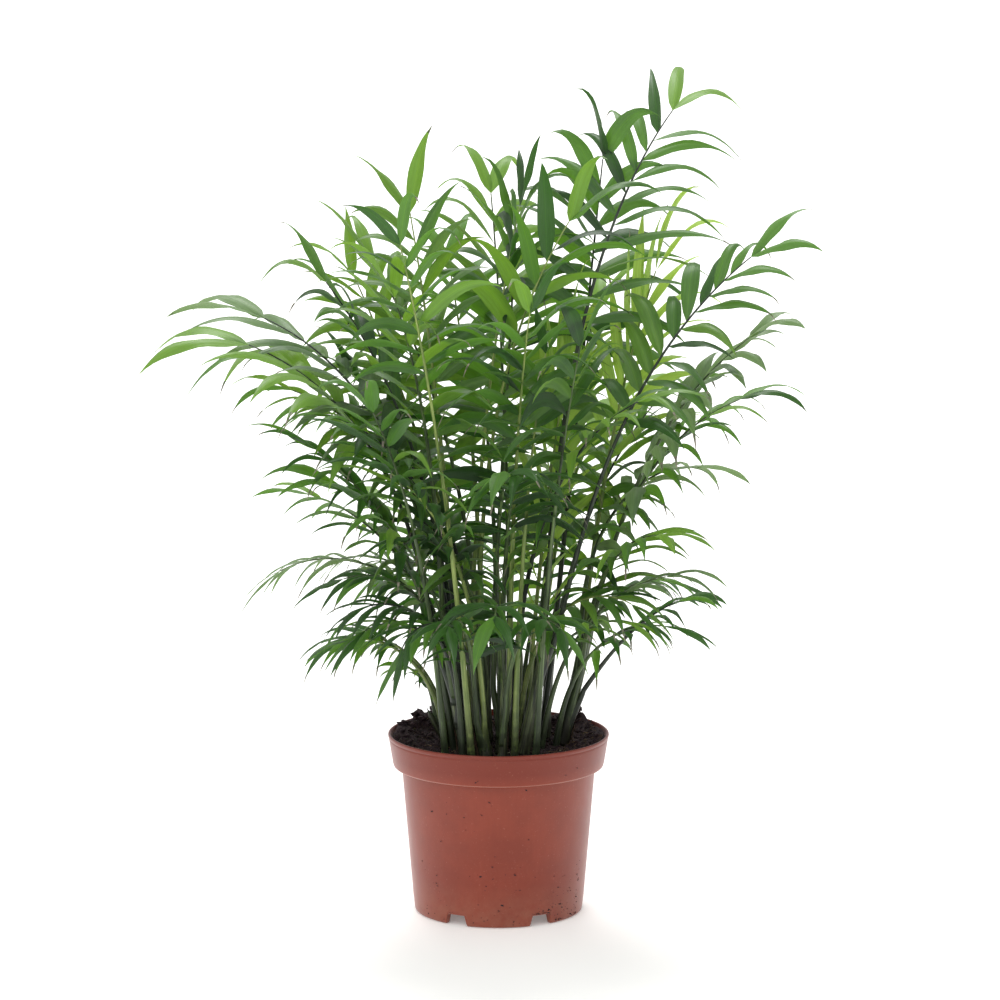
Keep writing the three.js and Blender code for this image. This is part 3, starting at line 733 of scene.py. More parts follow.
@dataclass
class Pot:
    """The tub: a tapered wall with a deep collar, on a notched foot ring and a centre pad."""

    height: float = 138.0
    wall: float = 2.0
    rim_radius: float = 85.0
    collar_foot_radius: float = 81.0
    collar_depth: float = 25.0
    body_top_radius: float = 74.5
    body_foot_radius: float = 65.0
    floor_rise: float = 9.0
    pad_radius: float = 36.0
    foot_ring_radius: float = 60.5
    notch_count: int = 6
    notch_mouth: float = 19.0
    notch_ceiling: float = 14.0
    notch_height: float = 8.0
    notch_fade: float = 2.2  # how far up the wall a notch's lift dies away, of the floor's rise
    notch_columns: int = 9
    columns: int = 192
    drain_radius: float = 4.5
    drain_circle: float = 48.0  # the radius at which the drain holes sit
    drain_sides: int = 32
    wall_step: float = 5.0  # between the rings of the wall
    speck_count: int = 340
    speck_arc: tuple = (-150.0, -25.0)
    speck_sizes: tuple = (0.18, 0.9)
    specks_low: float = 44.0  # how far up the wall most of the specks sit
    stray_from: float = 0.93  # the chance value from which a speck sits higher up
    stray_arc: tuple = (-130.0, -50.0)
    stray_heights: tuple = (40.0, 130.0)
    smear_angle: float = -60.0  # where crumbs stick beside a notch
    smear_arc: float = 15.0
    smear_height: float = 11.0
    smear_share: float = 0.22
    marks: tuple = ((-134, 88), (-123, 88), (-94, 49), (-101, 118), (-52, 119), (-44, 123))  # angle, height
    mark_size: float = 0.75

    @property
    def shoulder(self) -> float:
        """Give the height of the collar's lower edge."""
        return self.height - self.collar_depth

    def body_radius(self, height: float | Array) -> Array:
        """Give the outside radius of the wall below the collar."""
        return mix(self.body_foot_radius, self.body_top_radius, np.asarray(height) / self.shoulder)

    def collar_radius(self, height: float | Array) -> Array:
        """Give the outside radius of the collar."""
        share = (np.asarray(height) - self.shoulder) / self.collar_depth
        return mix(self.collar_foot_radius, self.rim_radius, share)

    def straight(self, radius_at: object, low: float, high: float, inset: float = 0.0) -> list[tuple]:
        """Give the rings of a straight stretch of wall, from low to high or the other way.

        Args:
            radius_at: the radius as a function of the height.
            low: the first height.
            high: the last height.
            inset: how far inside that radius the rings lie.

        Returns:
            The radius and height of each ring.
        """
        steps = max(1, round(abs(high - low) / self.wall_step))
        heights = np.linspace(low, high, steps + 1)
        return [(float(radius_at(z)) - inset, float(z)) for z in heights]

    def profile(self) -> Array:
        """Give the section through the wall as radius and height, from under the pad to the inside.

        The corners have a ring or two more, so that they look rounded: the lip is a half circle with a
        fine groove under it, and the lower edge of the collar a quarter of one.

        Returns:
            Radii and heights, as (ring, 2).
        """
        shoulder, ring, foot = self.shoulder, self.foot_ring_radius, self.body_foot_radius
        lip = self.wall / 2
        angles = np.linspace(0.0, math.pi, 7)
        centre = (self.rim_radius - lip, self.height - lip)
        crest = [(centre[0] + lip * math.cos(a), centre[1] + lip * math.sin(a)) for a in angles]
        return np.array([
            (0.5, 0.0), (self.pad_radius - 1.0, 0.0), (self.pad_radius, 0.5),
            (self.pad_radius + 3.5, self.floor_rise - 0.6), (self.pad_radius + 4.5, self.floor_rise),
            (ring - 2.6, self.floor_rise), (ring - 1.8, self.floor_rise - 0.6),
            (ring - 0.3, 0.6), (ring + 0.3, 0.0), (foot - 1.6, 0.0), (foot - 0.7, 0.25), (foot - 0.2, 0.9),
            (float(self.body_radius(3.0)), 3.0),
            *self.straight(self.body_radius, 6.0, shoulder - 3.0),
            (self.body_top_radius - 0.1, shoulder - 1.0), (self.body_top_radius + 0.7, shoulder - 0.2),
            (self.collar_foot_radius - 1.6, shoulder), (self.collar_foot_radius - 0.7, shoulder + 0.1),
            (self.collar_foot_radius - 0.15, shoulder + 0.6),
            (self.collar_foot_radius + 0.05, shoulder + 1.4),
            *self.straight(self.collar_radius, shoulder + 3.0, self.height - 5.0),
            (self.rim_radius - 0.75, self.height - 4.2), (self.rim_radius - 0.95, self.height - 3.8),
            (self.rim_radius - 0.95, self.height - 3.2), (self.rim_radius - 0.3, self.height - 2.7),
            (self.rim_radius - 0.1, self.height - 2.0), *crest,
            *self.straight(self.collar_radius, self.height - 3.0, shoulder + 5.0, self.wall),
            (self.collar_foot_radius - self.wall - 0.6, shoulder + 2.6),
            (self.body_top_radius - 0.8, shoulder + 1.6), (self.body_top_radius - self.wall, shoulder - 0.5),
            *self.straight(self.body_radius, shoulder - 4.0, self.floor_rise + 4.0, self.wall),
            (float(self.body_radius(self.floor_rise)) - self.wall - 0.6, self.floor_rise + self.wall),
            (self.pad_radius + 3.5, self.floor_rise + self.wall), (self.pad_radius - 0.5, self.wall),
            (0.5, self.wall),
        ])

    def angles(self) -> Array:
        """Give the angles of the columns: even ones, with more along the sides of the notches.

        Returns:
            The angles in radians, rising.
        """
        even = np.linspace(0.0, 2.0 * np.pi, self.columns, endpoint=False)
        centres = 2.0 * np.pi * np.arange(self.notch_count) / self.notch_count
        half = np.array([self.notch_ceiling, self.notch_mouth]) / 2.0 / self.body_foot_radius
        side = np.linspace(half[0] - 0.01, half[1] + 0.01, self.notch_columns)
        near = (centres[:, None] + np.concatenate([side, -side])).ravel() % (2.0 * np.pi)
        return np.unique(np.round(np.concatenate([even, near]), 5))

    def notch(self, angle: Array) -> Array:
        """Give how far the foot is cut away: the full height over the ceiling, eased to 0 at the mouth.

        Args:
            angle: angles in radians.

        Returns:
            The cut's height at each.
        """
        pitch = 2.0 * np.pi / self.notch_count
        away = np.abs((angle + pitch / 2.0) % pitch - pitch / 2.0) * self.body_foot_radius
        inner, outer = self.notch_ceiling / 2.0, self.notch_mouth / 2.0
        return self.notch_height * (1.0 - smooth((away - inner) / (outer - inner)))

    def shell(self) -> tuple[Array, Array]:
        """Turn the profile about the axis, and lift the foot ring and the foot of the wall at notches.

        Returns:
            The points and their places, as Surface.add takes them.
        """
        radius, height = (column[:, None] for column in self.profile().T)
        angle = self.angles()[None]
        inner = radius < self.foot_ring_radius + 0.5
        fade = np.where(inner, self.floor_rise, self.notch_fade * self.floor_rise)
        lift = self.notch(angle) * np.clip(1.0 - height / fade, 0.0, 1.0)
        lift = lift * (radius > self.foot_ring_radius - 3.0)
        slope = (self.body_top_radius - self.body_foot_radius) / self.shoulder
        grid = round_axis(radius + slope * lift, angle, height + lift)
        steps = np.hypot(*np.diff(self.profile(), axis=0).T)
        along = np.concatenate([[0.0], np.cumsum(steps)])[:, None]
        around = np.append(self.angles(), 2.0 * np.pi)[None] * self.body_top_radius
        uv = np.stack(np.broadcast_arrays(around, along), axis=-1)
        return grid[None], uv[None]

    def specks(self) -> tuple[Array, Array]:
        """Scatter crumbs of peat on the wall: most of them low down, to the right of the front.

        Returns:
            Their centres and their sizes.
        """
        seed = np.arange(self.speck_count) + 0.5
        angle = mix(*self.speck_arc, 1.0 - noise(seed) ** 2)
        height = 2.0 + self.specks_low * noise(seed + 0.31) ** 2.2
        stray = noise(seed + 0.77) > self.stray_from
        height = np.where(stray, spread(seed + 0.57, *self.stray_heights), height)
        angle = np.where(stray, spread(seed + 0.13, *self.stray_arc), angle)
        smear = noise(seed + 0.21) < self.smear_share
        height = np.where(smear, 1.0 + self.smear_height * noise(seed + 0.83) ** 1.5, height)
        angle = np.where(smear, self.smear_angle + self.smear_arc * (noise(seed + 0.67) - 0.5), angle)
        count = len(self.marks)
        angle[:count], height[:count] = np.array(self.marks).T
        angle = np.radians(angle)
        on_collar = height > self.shoulder - 3.0
        radius = np.where(on_collar, self.collar_radius(height), self.body_radius(height))
        height = np.maximum(height, self.notch(angle) + 1.5)
        sizes = mix(*self.speck_sizes, noise(seed + 0.9) ** 2.6)
        sizes[:count] = self.mark_size
        return round_axis(radius, angle, height), sizes

    def drains(self) -> Array:
        """Make the upright rods that cut a drain hole through the raised floor behind each notch.

        Returns:
            Points, as (rod, row, column, 3), to be closed.
        """
        turn = 360.0 * np.arange(self.notch_count) / self.notch_count
        heights = self.floor_rise + self.wall * np.array([-1.0, 2.0])
        paths = self.drain_circle * heading(turn, 90.0)[:, None] + heights[:, None] * UP
        radii = np.full(paths.shape[:2], self.drain_radius)
        return tubes(paths, radii, heading(turn, 90.0), self.drain_sides)

    def dress(self) -> None:
        """Build the shell, with its drain holes."""
        shell = Surface()
        shell.add(*self.shell(), closed=True)
        piece = shell.piece("pot_shell", MouldedPolypropylene().build(), Slot.POT, ["pot"])
        rods = Surface()
        rods.add(self.drains(), NO_PLACE, closed=True)
        cut_away(piece, rods.mesh("drain_rods", rounded=False))


# ---- The peat -------------------------------------------------------------------------------------


PEBBLE_RINGS = (-68.0, -25.0, 25.0, 68.0)  # how high a pebble's rings of points lie, in degrees
PEBBLE_SIDES = 6
PEBBLE_LEAST, PEBBLE_LUMP = 0.55, 0.9  # a pebble's least radius at a point, and what chance adds
PEBBLE_AXES = ((0.9, 2.0), (0.6, 1.1), (0.4, 1.0))  # the least and the greatest reach along each axis


def pebbles(centres: Array, sizes: Array, flat: float = 0.75) -> Array:
    """Make lumpy pebbles: a globe of few faces whose radius varies by chance at each point.

    Args:
        centres: their middles, as (pebble, 3).
        sizes: their radii.
        flat: their mean height, of their width.

    Returns:
        Points, as (pebble, row, column, 3), to be closed.
    """
    count = len(centres)
    rise = np.radians(PEBBLE_RINGS)[None, :, None]
    turn = np.linspace(0.0, 2.0 * np.pi, PEBBLE_SIDES, endpoint=False)[None, None]
    seed = np.arange(count)[:, None, None] * 1.37 + rise * 5.1 + turn * 3.3
    lump = PEBBLE_LEAST + PEBBLE_LUMP * noise(seed)
    globe = np.stack(np.broadcast_arrays(
        np.cos(rise) * np.cos(turn) * lump, np.cos(rise) * np.sin(turn) * lump, np.sin(rise) * lump * flat
    ), axis=-1)
    index = np.arange(count)
    first = unit(heading(360.0 * noise(index + 0.2), 60.0 + 60.0 * noise(index + 0.4)))
    second = unit(np.cross(first, heading(360.0 * noise(index + 0.6), 40.0)))
    third = np.cross(first, second)
    axes = zip((first, second, third), (0.8, 0.1, 0.3), PEBBLE_AXES)
    basis = np.stack([axis * spread(index + shift, *reach)[:, None] for axis, shift, reach in axes], axis=1)
    turned = np.einsum("nrck,nkj->nrcj", globe, basis)
    return centres[:, None, None] + sizes[:, None, None, None] * turned


@dataclass
class PeatBed:
    """The peat in the pot, with its loose crumbs, fibres and grit."""

    pot: Pot
    level: float = 127.0  # where the canes stand
    gap: float = 0.35  # left to the pot
    edge_rise: float = 4.0  # how far over its level it meets the pot
    bank: float = 10.5  # how far it rises towards the wall at the back
    # x, y, reach and rise of each heap
    heaps: tuple = ((-60, 52, 17, 5.5), (60, 53, 13, 4), (-74, 22, 10, 2.5), (20, 74, 9, 2))
    lumps: tuple = ((11.0, 1.5), (5.0, 1.2), (2.4, 0.7), (1.2, 0.35))  # breadth and rise
    planted_radius: float = 54.0
    crumb_count: int = 4100
    crumb_sizes: tuple = (0.35, 2.1)
    clod_count: int = 46
    clod_sizes: tuple = (1.2, 3.4)
    clod_heaps: tuple = ((-62.0, 46.0), (-48.0, 60.0), (58.0, 50.0), (48.0, 60.0), (-70.0, 30.0))
    fibre_count: int = 260
    fibre_lengths: tuple = (4.0, 17.0)
    fibre_radii: tuple = (0.1, 0.42)
    fibre_bow: float = 3.0
    grit_count: int = 26
    grit_sizes: tuple = (0.8, 1.9)
    perch: float = 0.35  # how far a loose thing's middle stands above the peat, of its radius
    rings: int = 60
    columns: int = 180

    def wall_radius(self, height: float | Array) -> Array:
        """Give the inside radius of the pot, less the gap.

        Args:
            height: the height, or an array of them.

        Returns:
            The radius at each.
        """
        on_collar = np.asarray(height) > self.pot.shoulder + 4.0
        outside = np.where(on_collar, self.pot.collar_radius(height), self.pot.body_radius(height))
        return outside - self.pot.wall - self.gap

    @property
    def edge_radius(self) -> float:
        """Give the radius at which the peat meets the pot."""
        return float(self.wall_radius(self.level + self.edge_rise))

    def top(self, x: Array, y: Array) -> Array:
        """Give the height of the peat: its level, a bank along the wall, heaps, and four sizes of lump.

        The bank rises with the distance from the axis and is higher at the back than at the front. A heap
        falls off by the exponential of the squared distance.

        Args:
            x: places across.
            y: places to the back.

        Returns:
            The height at each.
        """
        rise = smooth((np.hypot(x, y) - self.planted_radius) / (self.edge_radius - self.planted_radius))
        share = 0.5 + 0.5 * smooth((y + 50.0) / 60.0)
        share = share * (0.8 + 0.2 * relief(x, y, 16.0, 9.0))
        lumps = sum(depth * relief(x, y, cell, cell) for cell, depth in self.lumps)
        piled = sum(
            high * np.exp(-((x - east) ** 2 + (y - north) ** 2) / reach**2)
            for east, north, reach, high in self.heaps
        )
        return self.level + self.bank * rise * share + lumps + piled

    def body(self) -> tuple[Array, Array]:
        """Make the whole body of peat: under side, side along the wall, and the lumpy top.

        Returns:
            The points and their places, as Surface.add takes them.
        """
        low = self.pot.floor_rise + self.pot.wall + self.gap
        below = [(0.5, low), (self.wall_radius(low) - 1.0, low), (self.wall_radius(low), low + 1.0)]
        side = [(float(self.wall_radius(z)), z) for z in (40.0, 80.0, 110.0)]
        side.append((float(self.wall_radius(self.level)), self.pot.shoulder + 8.0))
        angle = np.linspace(0.0, 2.0 * np.pi, self.columns, endpoint=False)[None]
        radius, height = np.array(below + side).T[..., None]
        skirt = round_axis(radius, angle, height)
        radius = np.linspace(self.edge_radius, 0.5, self.rings)[:, None]
        height = self.top(radius * np.cos(angle), radius * np.sin(angle))
        return np.concatenate([skirt, round_axis(radius, angle, height)])[None], NO_PLACE

    def scatter(self, count: int, seed: float, sizes: tuple[float, float]) -> tuple[Array, Array]:
        """Scatter small things evenly over the peat.

        Args:
            count: how many.
            seed: another seed gives other places.
            sizes: the smallest and the largest radius. Small ones are more common.

        Returns:
            Their centres and radii.
        """
        index = np.arange(count) * 1.0 + seed
        radius = (self.edge_radius - 2.0) * np.sqrt(noise(index))
        turn = 2.0 * np.pi * noise(index + 0.35)
        size = mix(sizes[0], sizes[1], noise(index + 0.65) ** 3.0)
        x, y = radius * np.cos(turn), radius * np.sin(turn)
        return np.stack([x, y, self.top(x, y) + self.perch * size], axis=-1), size

    def clods(self) -> tuple[Array, Array]:
        """Give the large clods that lie on the bank at the back, left and right.

        Returns:
            Their centres and radii.
        """
        index = np.arange(self.clod_count) + 0.5
        heap = np.array(self.clod_heaps)[index.astype(int) % len(self.clod_heaps)]
        x = heap[:, 0] + spread(index, -7.0, 7.0)
        y = heap[:, 1] + spread(index + 0.4, -5.0, 5.0)
        away = np.hypot(x, y)
        keep = np.minimum(away, float(self.wall_radius(self.level + 6.0)) - 2.5) / away
        x, y = x * keep, y * keep
        size = spread(index + 0.7, *self.clod_sizes)
        return np.stack([x, y, self.top(x, y) + size * spread(index + 0.9, 0.2, 1.3)], axis=-1), size

    def fibres(self) -> tuple[Array, Array]:
        """Make thin bent fibres that lie on the peat: a straight run with a sideways and an upward bow.

        Returns:
            The points and their places, as Surface.add takes them.
        """
        index = np.arange(self.fibre_count) + 0.5
        start, _ = self.scatter(self.fibre_count, 0.5, (0.1, 0.2))
        share = np.linspace(0.0, 1.0, 7)[None, :]
        bearing = 360.0 * noise(index + 0.15)
        run = spread(index + 0.25, *self.fibre_lengths)[:, None] * share
        bow = spread(index + 0.45, -self.fibre_bow, self.fibre_bow)[:, None] * np.sin(np.pi * share)
        ahead, aside = heading(bearing, 90.0), heading(bearing + 90.0, 90.0)
        path = start[:, None] + run[..., None] * ahead[:, None] + bow[..., None] * aside[:, None]
        away, most = np.hypot(path[..., 0], path[..., 1]), float(self.wall_radius(self.level)) - 1.0
        path[..., :2] *= (np.minimum(away, most) / np.maximum(away, 1.0))[..., None]
        hump = spread(index + 0.55, 0.2, 2.2)[:, None] * np.sin(np.pi * share)
        path[..., 2] = self.top(path[..., 0], path[..., 1]) + 0.2 + hump
        radii = mix(*self.fibre_radii, noise(index + 0.85) ** 2)[:, None] * (1.0 - 0.5 * share)
        return tubes(path, radii, aside, 4), NO_PLACE

    def dress(self) -> None:
        """Build the peat and everything loose on it."""
        peat = DampPeat().build()
        bed = Surface()
        bed.add(*self.body(), closed=True)
        bed.piece("peat_bed", peat, Slot.SOIL, ["soil"])
        crumbs = Surface()
        crumbs.add(pebbles(*self.scatter(self.crumb_count, 3.0, self.crumb_sizes)), NO_PLACE, closed=True)
        crumbs.add(pebbles(*self.clods()), NO_PLACE, closed=True)
        crumbs.add(pebbles(*self.pot.specks(), flat=0.5), NO_PLACE, closed=True)
        crumbs.piece("peat_crumbs", peat, Slot.SOIL, [], rounded=False)
        fibres = Surface()
        fibres.add(*self.fibres(), closed=True)
        straw = PlainMatter("peat_fibre", 0.8, "#7d6447", "#33261b")
        fibres.piece("peat_fibres", straw.build(), Slot.SOIL, [])
        grit = Surface()
        stones = pebbles(*self.scatter(self.grit_count, 71.0, self.grit_sizes), flat=0.5)
        grit.add(stones, NO_PLACE, closed=True)
        chaff = PlainMatter("pale_grit", 0.85, "#a9a58c", "#77735c")
        grit.piece("pale_grit", chaff.build(), Slot.SOIL, [])


# ---- The canes ------------------------------------------------------------------------------------


@dataclass(frozen=True)
class Cane:
    """One cane: its place at the soil, bearing, lean, height, and radius at foot and top."""

    x: float
    y: float
    bearing: float
    lean: float
    height: float
    foot: float
    top: float
    soil: float = 127.35  # the height of its flat cut
    flare: float = 1.0
    flare_reach: float = 1.0 / 12.0

    def point(self, share: float | Array) -> Array:
        """Give the axis at a share of the height."""
        run = heading(self.bearing, self.lean) * self.height
        return np.array([self.x, self.y, self.soil]) + np.asarray(share)[..., None] * run

    def radius(self, share: float | Array) -> Array:
        """Give the radius: from foot to top, with a flare that dies away over the lowest part."""
        flare = self.flare * np.exp(-np.asarray(share) / self.flare_reach)
        return mix(self.foot, self.top, np.asarray(share)) + flare


CANES = (
    Cane(-41, 12, 180, 28, 30, 2.6, 2.2),
    Cane(-33, 6, 180, 13, 50, 3.1, 2.6),
    Cane(-24, -34, 175, 11, 108, 4.9, 3.4),
    Cane(-10, -40, 180, 7, 80, 5.1, 3.5),
    Cane(3, -44, 90, 1, 60, 3.2, 2.6),
    Cane(2, -25, 90, 2, 80, 4.2, 3.2),
    Cane(18, -34, 0, 12, 115, 5.0, 3.6),
    Cane(-9, 12, 120, 3, 95, 4.6, 3.3),
    Cane(12, -6, 40, 4, 90, 4.6, 3.3),
    Cane(26, 38, 30, 3, 70, 3.8, 3.0),
    Cane(36, 24, 10, 3, 80, 4.0, 3.2),
    Cane(48, 6, 0, 14, 98, 5.6, 3.6),
    Cane(-24, -9, 180, 4, 95, 4.4, 3.2),
    Cane(3, 38, 80, 5, 85, 4.4, 3.2),
)


# ---- The fronds -----------------------------------------------------------------------------------


class Tint(Enum):
    """The greens of the leaflets, as face and glow, from the oldest and darkest to the youngest. The darkest
    also goes to the low, inner fronds as painted shade, and a grey-green paints the sheen of a waxy face.
    """

    # the darkest green, of the old low fronds, made darker still as painted shade of the low, inner crown
    DEEP = ("#233d21", "#457c21")
    MID = ("#3f6434", "#70a82c")
    FRESH = ("#527a38", "#8cbc34")
    LIME = ("#98c254", "#c8ea5c")
    # painted sheen: a grey-green face that stands in for the whitish sheen of a waxy leaf
    DUSTY = ("#5a7754", "#88a862")


class Stalk(Enum):
    """The colours of the petioles and ribs, as shade and light stripe."""

    DARK = ("#202622", "#4a5544")
    MID = ("#323f2a", "#6f8650")
    LIGHT = ("#5c7236", "#aab96c")


@dataclass(frozen=True)
class Frond:
    """One frond, as the rule asks for it.

    It leaves its cane at the share at of its height, heads for bearing, starts at lean from upright and
    has bent by bend more at its tip. It is bare for the share bare of its length, leaf is the length of
    its longest leaflets and roll turns its blade about the rib.
    """

    cane: int
    at: float
    bearing: float
    lean: float
    bend: float
    length: float
    bare: float
    leaf: float
    roll: float
    tint: Tint = Tint.MID
    stalk: Stalk = Stalk.MID
    opening: float = 1.0
    breadth: float = 1.0  # of its blades, of the rule's
    number: int = 0


LEADING_FRONDS = (
    Frond(3, 0.62, 157, 9, 61, 322, 0.52, 98, 0, Tint.DUSTY, Stalk.DARK),
    Frond(3, 0.8, 173, 10, 60, 282, 0.5, 108, 0, Tint.FRESH, Stalk.DARK),
    Frond(3, 0.65, 205, 2, 70, 240, 0.58, 64, 0, Tint.MID, Stalk.DARK),
    Frond(4, 0.97, 215, 3, 82, 130, 0.35, 52, 0, Tint.DEEP, Stalk.MID),
    Frond(2, 0.9, 153, 4, 106, 150, 0.4, 46, 0, Tint.DUSTY, Stalk.MID, breadth=0.6),
    Frond(4, 0.7, 223, 12, 140, 110, 0.3, 52, 0, Tint.DEEP, Stalk.DARK),
    Frond(1, 0.9, 200, 8, 70, 48, 0.35, 30, 0, Tint.MID, Stalk.MID),
    Frond(13, 0.97, 152, 5, 6, 320, 0.42, 76, -60, Tint.FRESH, Stalk.LIGHT),
    Frond(8, 0.97, 156, 18, 9, 285, 0.5, 72, -40, Tint.FRESH, Stalk.LIGHT),
    Frond(8, 0.8, 48, 5, 0, 320, 0.5, 90, 50, Tint.MID, Stalk.MID),
    Frond(4, 0.9, -19, 0, 32, 350, 0.42, 96, -50, Tint.MID, Stalk.LIGHT),
    Frond(7, 0.97, 52, 6, 47, 418, 0.52, 92, 25, Tint.MID, Stalk.DARK, breadth=0.78),
    Frond(11, 0.97, 44, 8, 0, 372, 0.58, 84, 60, Tint.MID, Stalk.DARK, breadth=1.2),
    Frond(12, 0.9, 36, 9, 14, 285, 0.45, 96, 70, Tint.LIME, Stalk.LIGHT, 0.45),
    Frond(7, 0.9, 0, 13, 38, 320, 0.5, 74, 40, Tint.MID, Stalk.DARK, breadth=1.1),
    Frond(12, 0.97, -14, 14, 38, 262, 0.42, 70, 15, Tint.DUSTY, Stalk.MID, breadth=1.45),
    Frond(12, 0.8, 28, 2, 92, 185, 0.4, 60, 0, Tint.DUSTY, Stalk.MID, breadth=1.0),
    Frond(12, 0.7, -52, 10, 73, 160, 0.4, 64, 0, Tint.FRESH, Stalk.MID),
    Frond(12, 0.45, -15, 34, 30, 105, 0.5, 50, 0, Tint.DEEP, Stalk.DARK),
    Frond(6, 0.7, -92, 30, 76, 150, 0.42, 72, 0, Tint.DEEP, Stalk.MID),
    Frond(6, 0.97, -83, 11, 63, 195, 0.45, 64, 0, Tint.DEEP, Stalk.MID),
    Frond(3, 0.45, 195, 10, 110, 125, 0.3, 50, 0, Tint.DEEP, Stalk.DARK),
    Frond(13, 0.5, 188, 8, 100, 140, 0.35, 52, 0, Tint.DEEP, Stalk.MID),
    Frond(5, 0.8, -60, 14, 100, 120, 0.35, 56, 0, Tint.DEEP, Stalk.MID),
)


@dataclass(frozen=True)
class Ring:
    """A ring of fronds that fill the crown. The first one heads for the bearing first."""

    count: int
    first: float
    step: float
    length: float
    lean: float
    bend: float
    at: float
    bare: float
    leaf: float
    tints: tuple[Tint, ...]


FILLING_RINGS = (
    Ring(6, 60, 44, 300, 5, 28, 0.95, 0.38, 84, (Tint.FRESH, Tint.MID)),
    Ring(8, 0, 45, 245, 6, 62, 0.85, 0.28, 72, (Tint.MID, Tint.FRESH, Tint.DEEP)),
    Ring(6, 25, 60, 135, 10, 95, 0.6, 0.32, 54, (Tint.DEEP, Tint.MID)),
)


@dataclass(frozen=True)
class Sucker:
    """A frond that stands in the peat by itself, between the canes, and fills the crown further.

    The solids leave these out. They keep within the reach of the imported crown.
    """

    x: float
    y: float
    frond: Frond


SUCKERS = (
    Sucker(-27, -47, Frond(0, 0, 188, 2, 56, 236, 0.7, 82, 0, Tint.MID, Stalk.MID)),
    Sucker(-16, 26, Frond(0, 0, 180, 9, 110, 240, 0.55, 54, 0, Tint.DUSTY, Stalk.MID, breadth=0.6)),
    Sucker(-31, -3, Frond(0, 0, 168, 5, 66, 232, 0.6, 66, 0, Tint.MID, Stalk.MID)),
    Sucker(20, 12, Frond(0, 0, 28, 5, 6, 300, 0.3, 100, 80, Tint.LIME, Stalk.LIGHT, 0.4)),
    Sucker(-20, -52, Frond(0, 0, 240, 9, 14, 415, 0.74, 70, 30, Tint.MID, Stalk.LIGHT, breadth=0.9)),
    Sucker(-24, -22, Frond(0, 0, 40, 2, 14, 420, 0.76, 70, -30, Tint.DEEP, Stalk.LIGHT, breadth=0.9)),
    Sucker(28, -48, Frond(0, 0, 300, 6, 14, 330, 0.72, 72, 20, Tint.MID, Stalk.MID)),
    Sucker(12, -48, Frond(0, 0, 300, 3, 14, 320, 0.74, 68, 0, Tint.MID, Stalk.LIGHT)),
    Sucker(-40, -44, Frond(0, 0, 240, 9, 30, 300, 0.7, 68, 0, Tint.MID, Stalk.MID)),
    Sucker(32, -14, Frond(0, 0, -8, 9, 70, 180, 0.52, 62, 0, Tint.DUSTY, Stalk.MID, breadth=0.8)),
    Sucker(9, 27, Frond(0, 0, 100, 2, 26, 430, 0.56, 88, 20, Tint.FRESH, Stalk.MID)),
)


@dataclass(frozen=True)
class Undergrowth:
    """Slim fronds that come up in the peat anywhere between the canes, and head outwards."""

    tries: int = 60
    reach: float = 44.0
    open_front: float = 50.0  # none heads nearer to the front than this, where the stalks show
    lengths: tuple = (120.0, 300.0)
    bends: tuple = (95.0, 35.0)  # for the shortest and for the longest
    leaves: tuple = (54.0, 74.0)
    breadth: float = 0.9
    tints: tuple = (Tint.DEEP, Tint.MID, Tint.FRESH, Tint.MID, Tint.DEEP)
    stalks: tuple = (Stalk.MID, Stalk.DARK, Stalk.MID, Stalk.LIGHT)

    def sucker(self, seed: int) -> Sucker:
        """Give one frond of the undergrowth.

        Args:
            seed: its number, from which its chance values come.

        Returns:
            The frond with its place.
        """
        away, turn = self.reach * math.sqrt(noise(seed + 0.12)), 360.0 * float(noise(seed + 0.24))
        x, y = away * math.cos(math.radians(turn)), 0.8 * away * math.sin(math.radians(turn))
        share = float(noise(seed + 0.36))
        frond = Frond(
            cane=0,
            at=0.0,
            bearing=turn + 50.0 * (float(noise(seed + 0.48)) - 0.5),
            lean=3.0 + 0.12 * away,
            bend=mix(*self.bends, share),
            length=mix(*self.lengths, share),
            bare=mix(0.56, 0.48, share),
            leaf=mix(*self.leaves, share),
            roll=40.0 * (float(noise(seed + 0.6)) - 0.5),
            tint=self.tints[seed % len(self.tints)],
            stalk=self.stalks[seed % len(self.stalks)],
            breadth=self.breadth,
        )
        return Sucker(x, y, frond)

    def suckers(self) -> list[Sucker]:
        """Give all of them but those that head for the front."""
        grown, most = [self.sucker(seed) for seed in range(self.tries)], 180.0 - self.open_front
        return [one for one in grown if abs((one.frond.bearing + 90.0) % 360.0 - 180.0) < most]


@dataclass
class Rib:
    """A frond in its place, with the line of its rib."""

    frond: Frond
    start: Array
    foot_share: float  # where on its cane it starts
    arch_power: float = 1.7
    fine_steps: int = 96

    def tilt(self, share: Array) -> Array:
        """Give the angle from upright: lean, plus bend by a power of the share."""
        return self.frond.lean + self.frond.bend * share**self.arch_power

    def path(self, steps: int) -> Array:
        """Give the line as the sum of short steps, each along the tilt at its middle.

        Args:
            steps: how many.

        Returns:
            Points, as (step + 1, 3).
        """
        middle = (np.arange(steps) + 0.5) / steps
        moves = heading(self.frond.bearing, self.tilt(middle)) * self.frond.length / steps
        return self.start + np.concatenate([np.zeros((1, 3)), np.cumsum(moves, axis=0)])

    def at(self, share: Array) -> Array:
        """Give the points of the line at shares of its length.

        Args:
            share: the shares.

        Returns:
            Points, as (share, 3).
        """
        fine = self.path(self.fine_steps)
        places = np.linspace(0.0, 1.0, len(fine))
        return np.stack([np.interp(share, places, column) for column in fine.T], axis=-1)

    def directions(self, share: Array) -> tuple[Array, Array, Array]:
        """Give the directions along the rib, across the frond's blade and out of its upper face.

        Args:
            share: the shares of the rib's length at which they are wanted.

        Returns:
            Three arrays of unit vectors, as (share, 3).
        """
        along = heading(self.frond.bearing, self.tilt(share))
        level = np.broadcast_to(heading(self.frond.bearing + 90.0, 90.0), along.shape)
        upper = np.cross(along, level)
        turn = math.radians(self.frond.roll)
        across = math.cos(turn) * level + math.sin(turn) * upper
        return along, across, np.cross(along, across)


